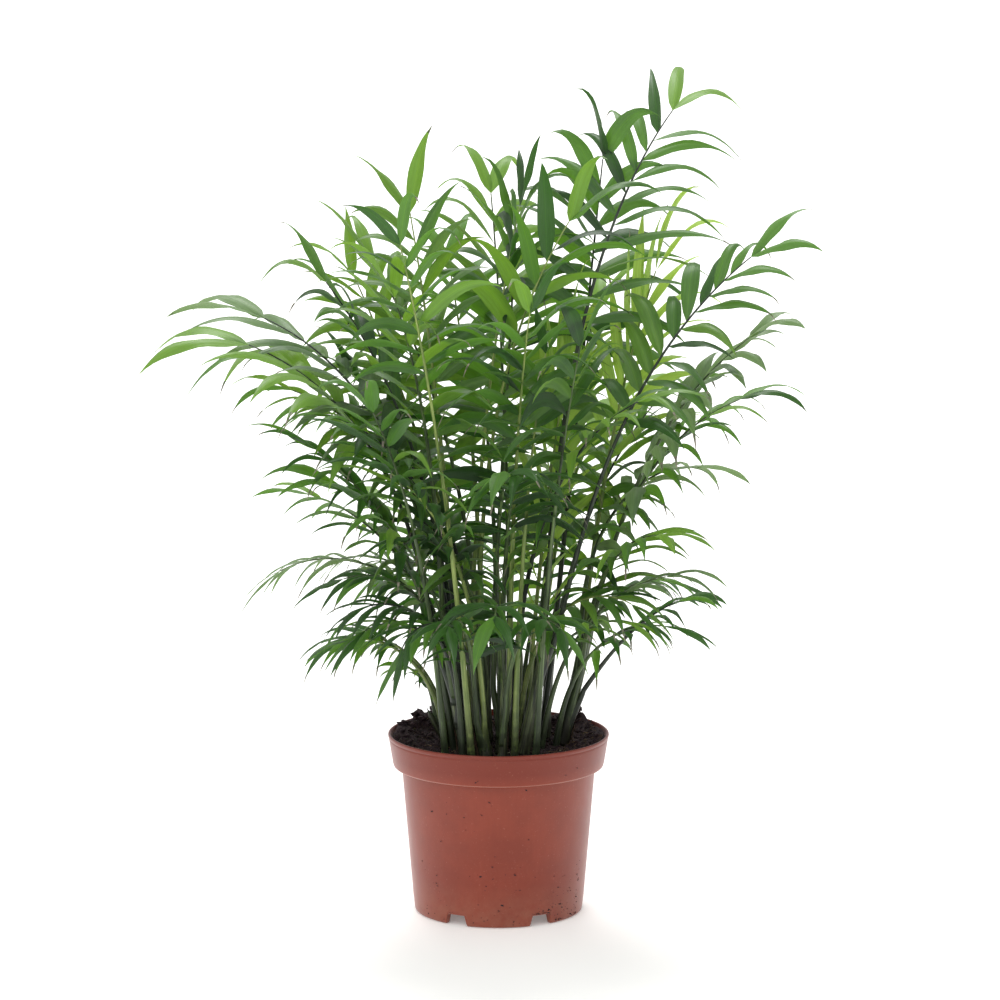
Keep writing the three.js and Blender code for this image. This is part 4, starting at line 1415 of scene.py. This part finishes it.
@dataclass
class PlacementRule:
    """Finds a place for each frond, clear of the canes and of the fronds placed before it."""

    gap: float = 0.35
    rib_step: float = 32.0
    foot_radius: float = 2.2
    tip_radius: float = 1.3
    first_filling_cane: int = 3
    cane_chance: float = 40.0  # degrees by which another cane may be preferred to the nearest
    bearing_steps: tuple = (0, 3, -3, 6, -6, 9, -9, 12, -12, 16, -16, 20, -20, 25, -25, 30, -30)
    slot_steps: tuple = (0, 50, -50, 100, -100)
    drop_steps: tuple = (0, 0.1, 0.2)
    check_spacing: float = 3.0
    check_margin: float = 1.0
    filling_breadth: float = 0.92
    soil: float = 126.0  # where the fronds that stand in the peat start
    packed: int = 0  # how many of the placed fronds have a solid

    def nearest_cane(self, bearing: float) -> int:
        """Choose the cane that stands best for a bearing, with some chance in the choice.

        Args:
            bearing: the frond's bearing.

        Returns:
            The cane's number, from 1.
        """
        costs = {}
        for number in range(self.first_filling_cane, len(CANES) + 1):
            cane = CANES[number - 1]
            away = math.degrees(math.atan2(cane.y, cane.x)) - bearing
            chance = self.cane_chance * float(noise(number + bearing))
            costs[number] = abs((away + 180.0) % 360.0 - 180.0) + chance
        return min(costs, key=costs.get)

    def wanted(self) -> list[Frond]:
        """Work out every frond of the crown.

        Returns:
            The leading fronds, and then those of the rings that fill the crown.
        """
        fronds = [replace(frond, number=i + 1) for i, frond in enumerate(LEADING_FRONDS)]
        for ring in FILLING_RINGS:
            for i in range(ring.count):
                seed = len(fronds) + 1
                bearing = ring.first + i * ring.step + 20.0 * (float(noise(seed)) - 0.5)
                fronds.append(Frond(
                    cane=self.nearest_cane(bearing),
                    at=ring.at * (0.75 + 0.25 * float(noise(seed + 0.1))),
                    bearing=bearing,
                    lean=ring.lean + 4.0 * float(noise(seed + 0.2)),
                    bend=ring.bend * (0.85 + 0.3 * float(noise(seed + 0.3))),
                    length=ring.length * (0.9 + 0.2 * float(noise(seed + 0.4))),
                    bare=ring.bare,
                    leaf=ring.leaf,
                    roll=40.0 * (float(noise(seed + 0.5)) - 0.5),
                    tint=ring.tints[i % len(ring.tints)],
                    stalk=(Stalk.MID, Stalk.LIGHT, Stalk.MID, Stalk.DARK)[i % 4],
                    breadth=self.filling_breadth,
                    number=seed,
                ))
        return fronds

    def beads(self, path: Array, radius_at: object) -> Beads:
        """Give points along a path at a small spacing, and the stem's radius at each.

        Args:
            path: the points of the path.
            radius_at: the radius as a function of the share of the path.

        Returns:
            The points and the radii.
        """
        span = len(path) - 1
        lengths = np.linalg.norm(np.diff(path, axis=0), axis=1)
        pieces = np.ceil(lengths / self.check_spacing).astype(int)
        places = np.concatenate([i + np.arange(n) / n for i, n in enumerate(pieces)] + [[float(span)]])
        points = np.stack([np.interp(places, np.arange(span + 1), column) for column in path.T], axis=-1)
        return points, radius_at(places / span)

    def rib_radius(self, share: Array) -> Array:
        """Give the radius that the rule keeps free round a rib."""
        return mix(self.foot_radius, self.tip_radius, share**0.8)

    def clear(self, mine: Beads, others: list[Beads]) -> bool:
        """Tell whether a stem keeps clear of others.

        Args:
            mine: the stem's beads.
            others: the beads of each of the others.

        Returns:
            Whether no bead is nearer to another stem's than both radii and the margin.
        """
        for points, radii in others:
            apart = np.sum((mine[0][:, None] - points[None]) ** 2, axis=-1)
            least = mine[1][:, None] + radii[None] + self.check_margin
            if np.any(apart <= least * least):
                return False
        return True

    def start(self, cane: Cane, share: float, frond: Frond, slot: float) -> Array:
        """Give where a frond leaves its cane: beside it, on the side that the rib then moves off to.

        Args:
            cane: the cane.
            share: the share of the cane's height.
            frond: the frond, with the bearing that is tried.
            slot: how many degrees further round the cane it starts.

        Returns:
            The point.
        """
        away = heading(frond.bearing, frond.lean) - heading(cane.bearing, cane.lean)
        moves_off = math.hypot(away[0], away[1]) > 0.02
        side = math.atan2(away[1], away[0]) if moves_off else math.radians(frond.bearing)
        turn = side + math.radians(slot)
        offset = float(cane.radius(share)) + self.foot_radius + self.gap
        return cane.point(share) + offset * np.array([math.cos(turn), math.sin(turn), 0.0])

    def place(self, frond: Frond, canes: list[Beads], placed: list[Beads]) -> tuple[Rib, Beads] | None:
        """Find the first way of placing a frond that keeps its rib clear.

        Args:
            frond: the frond as it is wanted.
            canes: the beads of every cane.
            placed: the beads of the fronds placed before it.

        Returns:
            The rib and its beads, or None where there is no such way.
        """
        cane = CANES[frond.cane - 1]
        others = canes[: frond.cane - 1] + canes[frond.cane :] + placed
        steps = max(4, math.floor(frond.length / self.rib_step + 0.5))
        for turn in self.bearing_steps:
            turned = replace(frond, bearing=frond.bearing + turn)
            for drop in self.drop_steps:
                for slot in self.slot_steps:
                    share = frond.at - drop
                    rib = Rib(turned, self.start(cane, share, turned, slot), share)
                    beads = self.beads(rib.path(steps), self.rib_radius)
                    if self.clear(beads, others):
                        return rib, beads
        return None

    def ribs(self) -> list[Rib]:
        """Place every frond that finds a place, and then the ones that stand in the peat.

        Returns:
            The ribs. The first of them, as many as packed then says, have a solid.
        """
        canes = [self.beads(cane.point(np.array([0.0, 1.0])), cane.radius) for cane in CANES]
        ribs, placed = [], []
        for frond in self.wanted():
            found = self.place(frond, canes, placed)
            if found:
                ribs.append(found[0])
                placed.append(found[1])
        self.packed = len(ribs)
        for sucker in (*SUCKERS, *Undergrowth().suckers()):
            frond = replace(sucker.frond, number=len(ribs) + 1)
            rib = Rib(frond, np.array([sucker.x, sucker.y, self.soil]), 0.0)
            beads = self.beads(rib.path(max(4, round(frond.length / self.rib_step))), self.rib_radius)
            if self.clear(beads, canes + placed):
                ribs.append(rib)
                placed.append(beads)
        return ribs


# ---- The plant ------------------------------------------------------------------------------------


@dataclass
class CaneClump:
    """The canes, with their rings, their tapered tops and the papery sheaths at their feet."""

    rows: int = 44
    sides: int = 20
    reach: float = 1.02  # how far past its packed height a cane's tapered top goes
    taper_from: float = 0.72
    taper: float = 0.88  # of the radius, at the very top
    bow: float = 1.2  # how far the middle of a cane may stand aside
    ring_spacing: float = 17.0
    ring_rise: float = 0.14
    ring_width: float = 1.3
    roughness: float = 0.46
    wrapped_from: float = 4.0  # the foot's radius from which a cane has a sheath
    sheath_least: float = 16.0  # a sheath's least height, and what chance adds as a whole and at the edge
    sheath_more: float = 14.0
    sheath_rag: float = 3.0
    sheath_faces: tuple = (0.25, 0.0)  # how far its outer and inner faces stand off

    def stems(self) -> tuple[Array, Array]:
        """Make the canes: a tapered tube with a low rounded ring at each old leaf's place.

        Returns:
            The points and their places, as Surface.add takes them.
        """
        share = np.linspace(0.0, self.reach, self.rows)
        paths = np.stack([cane.point(share) for cane in CANES])
        radii = np.stack([cane.radius(share) for cane in CANES])
        seed = np.arange(len(CANES))[:, None]
        length = np.array([cane.height for cane in CANES])[:, None] * share
        phase = (length / self.ring_spacing + noise(seed)) % 1.0 - 0.5
        radii = radii + self.ring_rise * np.exp(-((phase * self.ring_spacing / self.ring_width) ** 2))
        above = (share - self.taper_from) / (self.reach - self.taper_from)
        radii = radii * (1.0 - self.taper * smooth(above))
        bow = self.bow * np.sin(math.pi * share) * spread(seed + 0.3, -1.0, 1.0)
        level = np.stack([heading(cane.bearing + 90.0, 90.0) for cane in CANES])
        paths = paths + bow[..., None] * level[:, None]
        return tubes(paths, radii, level, self.sides), tube_places(paths, radii, self.sides)

    def sheaths(self) -> tuple[Array, Array]:
        """Make old papery sheaths: a thin slab wrapped part of the way round the foot of a cane.

        The slab's outer face lies clear of the cane, and its ragged upper edge comes to a point.

        Returns:
            The points and their places, as Surface.add takes them.
        """
        wrapped = [cane for cane in CANES if cane.foot > self.wrapped_from]
        number = np.arange(len(wrapped))[:, None, None]
        rise = np.linspace(0.0, 1.0, 9)[None, :, None]
        turn = np.linspace(-1.0, 1.0, 9)[None, None, :]
        ragged = self.sheath_least + self.sheath_more * noise(number)
        ragged = ragged + self.sheath_rag * noise(number * 3.1 + np.round(turn * 4.0))
        ragged = ragged * (1.0 - 0.8 * np.abs(turn) ** 1.5)
        height = rise * ragged
        foot = np.array([[cane.x, cane.y, cane.soil] for cane in wrapped])[:, None, None]
        lean = np.stack([heading(cane.bearing, cane.lean) for cane in wrapped])[:, None, None]
        around = 2.0 * np.pi * noise(number + 0.5) + turn * spread(number + 0.2, 0.25, 0.55)
        foot_radius = np.array([cane.foot for cane in wrapped])[:, None, None]
        flare = np.exp(-height / 8.0) + 0.35 + 1.4 * rise**3 * noise(number + turn * 2.0)
        faces = []
        for stand_off in self.sheath_faces:
            offset = round_axis(foot_radius + flare + stand_off, around, 0.0)
            faces.append(foot + height[..., None] * lean + offset)
        return np.concatenate([faces[0], faces[1][:, :, ::-1]], axis=2), NO_PLACE

    def dress(self) -> None:
        """Build the canes and their old sheaths."""
        stems = Surface()
        stems.add(*self.stems(), closed=True)
        nodes = [f"cane_{i + 1:02d}" for i in range(len(CANES))]
        stems.piece("canes", CaneRind("cane_rind", self.roughness).build(), Slot.CANE, nodes)
        sheaths = Surface()
        sheaths.add(*self.sheaths(), closed=True)
        paper = PlainMatter("papery_sheath", 0.75, "#57402b", "#231911", 2.5)
        sheaths.piece("old_sheaths", paper.build(), Slot.CANE, [])


@dataclass
class Petioles:
    """The stalks of the fronds: a sheath that clasps the cane, the bare petiole and the rib."""

    ribs: list[Rib]
    heel: float = 46.0  # how far down its cane a stalk's sheath reaches
    heel_most: float = 0.8  # of the height at which it leaves the cane
    sunk_foot: float = 6.0  # how deep a stalk that stands in the peat goes
    sheath: float = 0.9  # how much thicker such a stalk is at its foot
    clasp: float = 0.12  # how far a sheath stands out of the cane
    heel_rows: int = 14
    rib_rows: int = 44
    sides: int = 10
    foot_radius: float = 2.25
    tip_radius: float = 0.5
    taper_power: float = 1.15
    groove: float = 0.25  # of the radius, along the upper side
    roughness: float = 0.44
    # painted shade: the stalks darken from the peat up to foot_high, low in the crown where shade falls
    shaded_foot_colour: str = "#1f251a"
    foot_high: float = 215.0
    stripe: float = 0.9

    def line(self, rib: Rib) -> tuple[Array, Array]:
        """Give a stalk's line and radii, from inside the cane to the tip.

        The heel eases from the cane's axis to the rib's start, and its radius from the cane's to the
        petiole's. The rib's radius falls evenly to the tip. A stalk that stands in the peat has a short
        straight foot in it instead, with a sheath that thins out upwards.

        Args:
            rib: the rib.

        Returns:
            The points and the radii.
        """
        along = np.linspace(0.0, 1.0, self.rib_rows)
        radii = mix(self.foot_radius, self.tip_radius, along**self.taper_power)
        if not rib.frond.cane:
            sunk = np.linspace(-self.sunk_foot, 0.0, self.heel_rows, endpoint=False)
            radii = radii + self.sheath * np.exp(-along * rib.frond.length / self.heel)
            foot = rib.start + sunk[:, None] * heading(rib.frond.bearing, rib.frond.lean)
            return np.concatenate([foot, rib.at(along)]), np.concatenate([0.0 * sunk + radii[0], radii])
        cane = CANES[rib.frond.cane - 1]
        ease = np.linspace(0.0, 1.0, self.heel_rows, endpoint=False)
        drop = min(self.heel, self.heel_most * rib.foot_share * cane.height)
        share = rib.foot_share - (1.0 - ease) * drop / cane.height
        aside = rib.start - cane.point(rib.foot_share)
        heel = cane.point(share) + smooth(ease)[:, None] * aside
        clasp = mix(cane.radius(share) + self.clasp, self.foot_radius, smooth(ease * 1.1))
        return np.concatenate([heel, rib.at(along)]), np.concatenate([clasp, radii])

    def dress(self) -> None:
        """Build one piece for each colour of stalk."""
        for stalk in Stalk:
            chosen = [rib for rib in self.ribs if rib.frond.stalk is stalk]
            lines = [self.line(rib) for rib in chosen]
            paths, radii = np.stack([line[0] for line in lines]), np.stack([line[1] for line in lines])
            level = np.stack([heading(rib.frond.bearing + 90.0, 90.0) for rib in chosen])
            stalks = Surface()
            points = tubes(paths, radii, level, self.sides, self.groove)
            stalks.add(points, tube_places(paths, radii, self.sides), closed=True)
            name = f"petioles_{stalk.name.lower()}"
            dark, light = stalk.value
            rind = CaneRind(
                name, self.roughness, dark, light, self.shaded_foot_colour, foot_high=self.foot_high, stripe=self.stripe
            )
            stalks.piece(name, rind.build(), Slot.FROND, [])


@dataclass
class Leaflets:
    """All the leaflets: where each one starts, how it runs and how its blade is shaped."""

    ribs: list[Rib]
    packed: int  # how many of the ribs, from the first, have a solid
    spacing: float = 0.22  # between the pairs, of the leaflet's length
    stagger: float = 0.22  # of each leaflet from the middle of its pair, of the pairs' spacing
    half_width: float = 0.078  # of the leaflet's length
    sweep_foot: float = 66.0
    sweep_tip: float = 22.0
    sweep_end: float = 18.0
    sweep_spread: float = 10.0
    swell_from: float = 0.25  # where the half wave of their fullness starts at the first pair
    fullness_end: float = 0.72
    fullness_last: float = 0.82
    width_last: float = 1.12
    turn: float = 35.0  # how far a blade may turn about its midrib by its tip
    turn_last: float = 85.0
    length_spread: float = 0.24
    twist_spread: float = 50.0
    rise_spread: float = 0.25
    droop_least: float = 0.9
    droop_spread: float = 1.2
    droop_upright: float = 0.55
    droop_power: float = 1.5
    skyward: tuple = (0.15, 1.0)  # how far a blade turns its face to the sky
    rows: int = 13
    row_power: float = 0.92
    least_half_width: float = 0.12
    root_powers: tuple = (0.55, 0.85)  # of the outline, at the root and at the tip
    tip_powers: tuple = (1.0, 1.45)
    turn_power: float = 1.5
    fold: float = 0.42  # how far the edges hang below the midrib, of the half width
    fold_range: tuple = (0.4, 1.5)  # the least and the greatest, of that
    wave: float = 0.12  # how far they wave, of the half width
    wave_count: float = 2.2
    roughness: float = 0.43
    pattern_reach: float = 131.0  # how far apart two blades may start in their finish's pattern
    tip_share: float = 0.4  # the share of the leaflets that have a dry tip
    tip_lengths: tuple = (1.5, 5.0)
    tip_curls: tuple = (0.1, 0.55)
    lighter_from: float = 0.8  # the chance value from which a leaflet is of the next lighter tint
    darker_from: float = 0.82
    order: tuple = (Tint.DEEP, Tint.MID, Tint.FRESH, Tint.LIME)

    def of_rib(self, rib: Rib) -> dict[str, Array]:
        """Work out the leaflets of one frond.

        Args:
            rib: the frond's rib.

        Returns:
            One array for each quantity, with a row for each leaflet.
        """
        frond = rib.frond
        pairs = math.floor((1.0 - frond.bare) * frond.length / (self.spacing * frond.leaf) + 0.5)
        pair = np.repeat(np.arange(pairs), 2)
        side = np.tile([1.0, -1.0], pairs)
        last = pair == pairs - 1
        share = np.where(last, 1.0, (pair + 0.5 + self.stagger * side) / pairs)
        rib_share = mix(frond.bare, 1.0, share)
        along, across, out = rib.directions(rib_share)
        seed = frond.number * 100 + pair * 2 + (side > 0)
        sweep = np.where(last, self.sweep_end, mix(self.sweep_foot, self.sweep_tip, share))
        sweep = sweep + self.sweep_spread * (noise(seed) - 0.5)
        sweep = np.radians(frond.opening * sweep)[:, None]
        swell = np.sin(np.pi * np.minimum(1.0, mix(self.swell_from, 1.0, share)))
        full = np.where(last, self.fullness_last, mix(self.fullness_end, 1.0, swell))
        length = frond.leaf * full * (1.0 + self.length_spread * (noise(seed + 0.3) - 0.5))
        rise = self.rise_spread * (noise(seed + 0.7) - 0.1)
        first = unit(np.cos(sweep) * along + side[:, None] * np.sin(sweep) * across + rise[:, None] * out)
        flat = unit(along - first * np.sum(along * first, axis=-1, keepdims=True))
        twist = np.radians(self.twist_spread * (noise(seed + 0.9) - 0.5))[:, None]
        wide = -side[:, None] * (np.cos(twist) * flat + np.sin(twist) * np.cross(first, flat))
        level = np.cross(UP, first)
        level = level * np.sign(np.sum(level * wide, axis=-1, keepdims=True))
        wide = unit(mix(wide, level, spread(seed + 0.15, *self.skyward)[:, None]))
        return {
            "root": rib.at(rib_share),
            "first": first,
            "wide": wide,
            "length": length,
            "width": self.half_width * length * np.where(last, self.width_last, 1.0)
            * math.sqrt(frond.opening) * frond.breadth,
            "turn": np.where(last, self.turn_last, self.turn),
            "droop": (self.droop_least + self.droop_spread * noise(seed + 0.5))
            * mix(self.droop_upright, 1.0, np.hypot(*first.T[:2])),
            "seed": seed.astype(float),
            "tint": np.full(len(seed), self.order.index(frond.tint) if frond.tint in self.order else -1),
        }

    def centre_lines(self, leaves: dict[str, Array], rows: Array) -> tuple[Array, Array]:
        """Give the midribs: each starts along first and is pulled down by a power of the share.

        Args:
            leaves: the leaflets' arrays.
            rows: the shares of the length at which a point is wanted, the first of them 0.

        Returns:
            The points and the directions ahead, as (leaflet, row, 3).
        """
        middle = (rows[1:] + rows[:-1]) / 2.0
        fall = leaves["droop"][:, None] * middle**self.droop_power
        ahead = unit(leaves["first"][:, None] - fall[..., None] * UP)
        moves = ahead * (leaves["length"][:, None] * np.diff(rows))[..., None]
        start = leaves["root"][:, None]
        points = start + np.concatenate([0.0 * start, np.cumsum(moves, axis=1)], axis=1)
        return points, unit(np.gradient(points, axis=1))

    def blades(self, leaves: dict[str, Array]) -> tuple[Array, Array]:
        """Make the blades: an outline that is narrow at the root, widest at two fifths, with a long tip.

        The half width at a share u is u to a power times 1 - u to another, scaled to the leaflet's own.
        The section is a low roof along the midrib whose edges wave a little.

        Args:
            leaves: the leaflets' arrays.

        Returns:
            The points and their places, as Surface.add takes them.
        """
        share = np.linspace(0.0, 1.0, self.rows) ** self.row_power
        line, ahead = self.centre_lines(leaves, share)
        seed = leaves["seed"][:, None]
        root_power = spread(seed + 0.11, *self.root_powers)
        tip_power = spread(seed + 0.23, *self.tip_powers)
        peak = root_power / (root_power + tip_power)
        most = peak**root_power * (1.0 - peak) ** tip_power
        outline = share**root_power * (1.0 - share) ** tip_power / most
        half = leaves["width"][:, None] * outline + self.least_half_width
        wide = leaves["wide"][:, None]
        across = unit(wide - ahead * np.sum(wide * ahead, axis=-1, keepdims=True))
        turn = np.radians(spread(seed + 0.37, -1.0, 1.0) * leaves["turn"][:, None])
        turn = turn * share**self.turn_power
        over = np.cross(ahead, across)
        across, over = (
            np.cos(turn)[..., None] * across + np.sin(turn)[..., None] * over,
            np.cos(turn)[..., None] * over - np.sin(turn)[..., None] * across,
        )
        edge = np.array([1.0, 0.5, 0.0, -0.5, -1.0])
        fold = self.fold * spread(seed + 0.41, *self.fold_range)
        wave = self.wave * np.sin(2.0 * np.pi * (self.wave_count * share + noise(seed + 0.53)))
        hang = -fold[..., None] * np.abs(edge) + wave[..., None] * edge * np.abs(edge)
        side = half[..., None] * edge
        grid = line[:, :, None] + side[..., None] * across[:, :, None]
        grid = grid + (half[..., None] * hang)[..., None] * over[:, :, None]
        along = leaves["length"][:, None] * share + self.pattern_reach * noise(seed + 0.7)
        places = np.stack([side, np.broadcast_to(along[..., None], side.shape)], axis=-1)
        return grid, places

    def dry_tips(self, leaves: dict[str, Array]) -> tuple[Array, Array]:
        """Make the dry tips: a narrow strip that goes on from a blade's last part and curls down.

        Args:
            leaves: the leaflets' arrays.

        Returns:
            The points and their places, as Surface.add takes them.
        """
        chosen = noise(leaves["seed"] + 0.19) < self.tip_share
        leaves = {key: value[chosen] for key, value in leaves.items()}
        line, ahead = self.centre_lines(leaves, np.linspace(0.0, 1.0, self.rows) ** self.row_power)
        share = np.linspace(0.0, 1.0, 6)[None]
        length = spread(leaves["seed"] + 0.61, *self.tip_lengths)[:, None]
        start, towards = line[:, -2][:, None], ahead[:, -2][:, None]
        run = np.linalg.norm(line[:, -1] - line[:, -2], axis=-1)[:, None] + length
        curl = spread(leaves["seed"] + 0.83, *self.tip_curls)[:, None]
        path = start + (run * share)[..., None] * towards - (run * curl * share**2)[..., None] * UP
        wide = leaves["wide"][:, None]
        across = unit(wide - towards * np.sum(wide * towards, axis=-1, keepdims=True))
        half = (0.06 * leaves["width"][:, None] + 0.5) * (1.0 - share**1.5) + 0.1
        edge = np.array([1.0, 0.0, -1.0])
        grid = path[:, :, None] + (half[..., None] * edge)[..., None] * across[:, :, None]
        grid = grid - (0.15 * half[..., None] * np.abs(edge))[..., None] * UP
        return grid, NO_PLACE

    def tint_of(self, leaves: dict[str, Array]) -> Array:
        """Choose each leaflet's tint: its frond's, or for some the next darker or lighter one.

        Args:
            leaves: the leaflets' arrays.

        Returns:
            The places of the tints in the order, or -1 for one that isn't in it.
        """
        lighter = noise(leaves["seed"] + 0.29) > self.lighter_from
        darker = noise(leaves["seed"] + 0.47) > self.darker_from
        moved = np.clip(leaves["tint"] + lighter.astype(int) - darker.astype(int), 0, len(self.order) - 2)
        fixed = (leaves["tint"] == len(self.order) - 1) | (leaves["tint"] < 0)
        return np.where(fixed, leaves["tint"], moved)

    def dress(self) -> None:
        """Build one piece for each tint, and one for the dry tips."""
        parts = [self.of_rib(rib) for rib in self.ribs]
        leaves = {key: np.concatenate([part[key] for part in parts]) for key in parts[0]}
        tints = self.tint_of(leaves)
        for tint in Tint:
            code = self.order.index(tint) if tint in self.order else -1
            blades = Surface()
            blades.add(*self.blades({key: value[tints == code] for key, value in leaves.items()}))
            shown = [rib for rib in self.ribs[: self.packed] if rib.frond.tint is tint]
            nodes = [f"frond_{rib.frond.number:02d}" for rib in shown]
            name = f"leaflets_{tint.name.lower()}"
            finish = LeafBlade(name, self.roughness, *tint.value)
            blades.piece(name, finish.build(), Slot.FROND, nodes)
        tips = Surface()
        tips.add(*self.dry_tips(leaves))
        dry = PlainMatter("dry_leaf_tip", 0.7, "#8b8474", "#5f584b", 3.0)
        tips.piece("dry_tips", dry.build(), Slot.FROND, [])


# ---- The studio -----------------------------------------------------------------------------------


@dataclass
class Studio:
    """A white floor and a soft white light all round, with two broad lamps and the camera."""

    floor_size: float = 60.0
    floor_drop: float = 0.0004
    camera_place: tuple = (0.00115, -3.0, 0.8041)
    pitch_down: float = 9.19
    lens: float = 143.57
    sensor: float = 36.0
    sky: float = 0.72
    # name, turn, strength and breadth of each lamp
    suns: tuple = (
        ("back_light", (-28.0, 0.0, 8.0), 2.4, 32.0),
        ("front_light", (52.0, 0.0, -25.0), 0.8, 50.0),
    )

    def floor(self) -> None:
        """Lay the floor."""
        half = self.floor_size / 2.0
        corners = [(-half, -half), (half, -half), (half, half), (-half, half)]
        mesh = bpy.data.meshes.new("studio_floor")
        mesh.from_pydata([(x, y, -self.floor_drop) for x, y in corners], [], [(0, 1, 2, 3)])
        mesh.materials.append(StudioPaper().build())
        floor = bpy.data.objects.new("studio_floor", mesh)
        bpy.context.scene.collection.objects.link(floor)

    def light(self) -> None:
        """Set up the white sky and the lamps."""
        world = bpy.data.worlds.new("studio_sky")
        world.use_nodes = True
        background = world.node_tree.nodes["Background"]
        background.inputs[0].default_value = (1.0, 1.0, 1.0, 1.0)
        background.inputs[1].default_value = self.sky
        bpy.context.scene.world = world
        for name, turn, energy, width in self.suns:
            lamp = bpy.data.lights.new(name, "SUN")
            lamp.energy = energy
            lamp.angle = math.radians(width)
            holder = bpy.data.objects.new(name, lamp)
            holder.rotation_euler = [math.radians(angle) for angle in turn]
            bpy.context.scene.collection.objects.link(holder)

    def camera(self) -> None:
        """Place the camera."""
        lens = bpy.data.cameras.new("camera")
        lens.lens = self.lens
        lens.sensor_width = self.sensor
        lens.clip_end = 2.0 * self.floor_size
        camera = bpy.data.objects.new("camera", lens)
        camera.location = self.camera_place
        camera.rotation_euler = (math.radians(90.0 - self.pitch_down), 0.0, 0.0)
        bpy.context.scene.collection.objects.link(camera)
        bpy.context.scene.camera = camera
        bpy.context.scene.view_settings.view_transform = "Standard"

    def set_up(self) -> None:
        """Set up the floor, the lights and the camera."""
        self.floor()
        self.light()
        self.camera()


def main() -> None:
    """Build the studio, the pot, the peat and the plant, in that order."""
    logging.basicConfig(level=logging.INFO, format="%(name)s: %(message)s")
    Studio().set_up()
    pot = Pot()
    pot.dress()
    PeatBed(pot).dress()
    CaneClump().dress()
    rule = PlacementRule()
    ribs = rule.ribs()
    LOG.info("%d fronds placed, %d of them solids", len(ribs), rule.packed)
    Petioles(ribs).dress()
    Leaflets(ribs, rule.packed).dress()


if __name__ == "__main__":
    main()
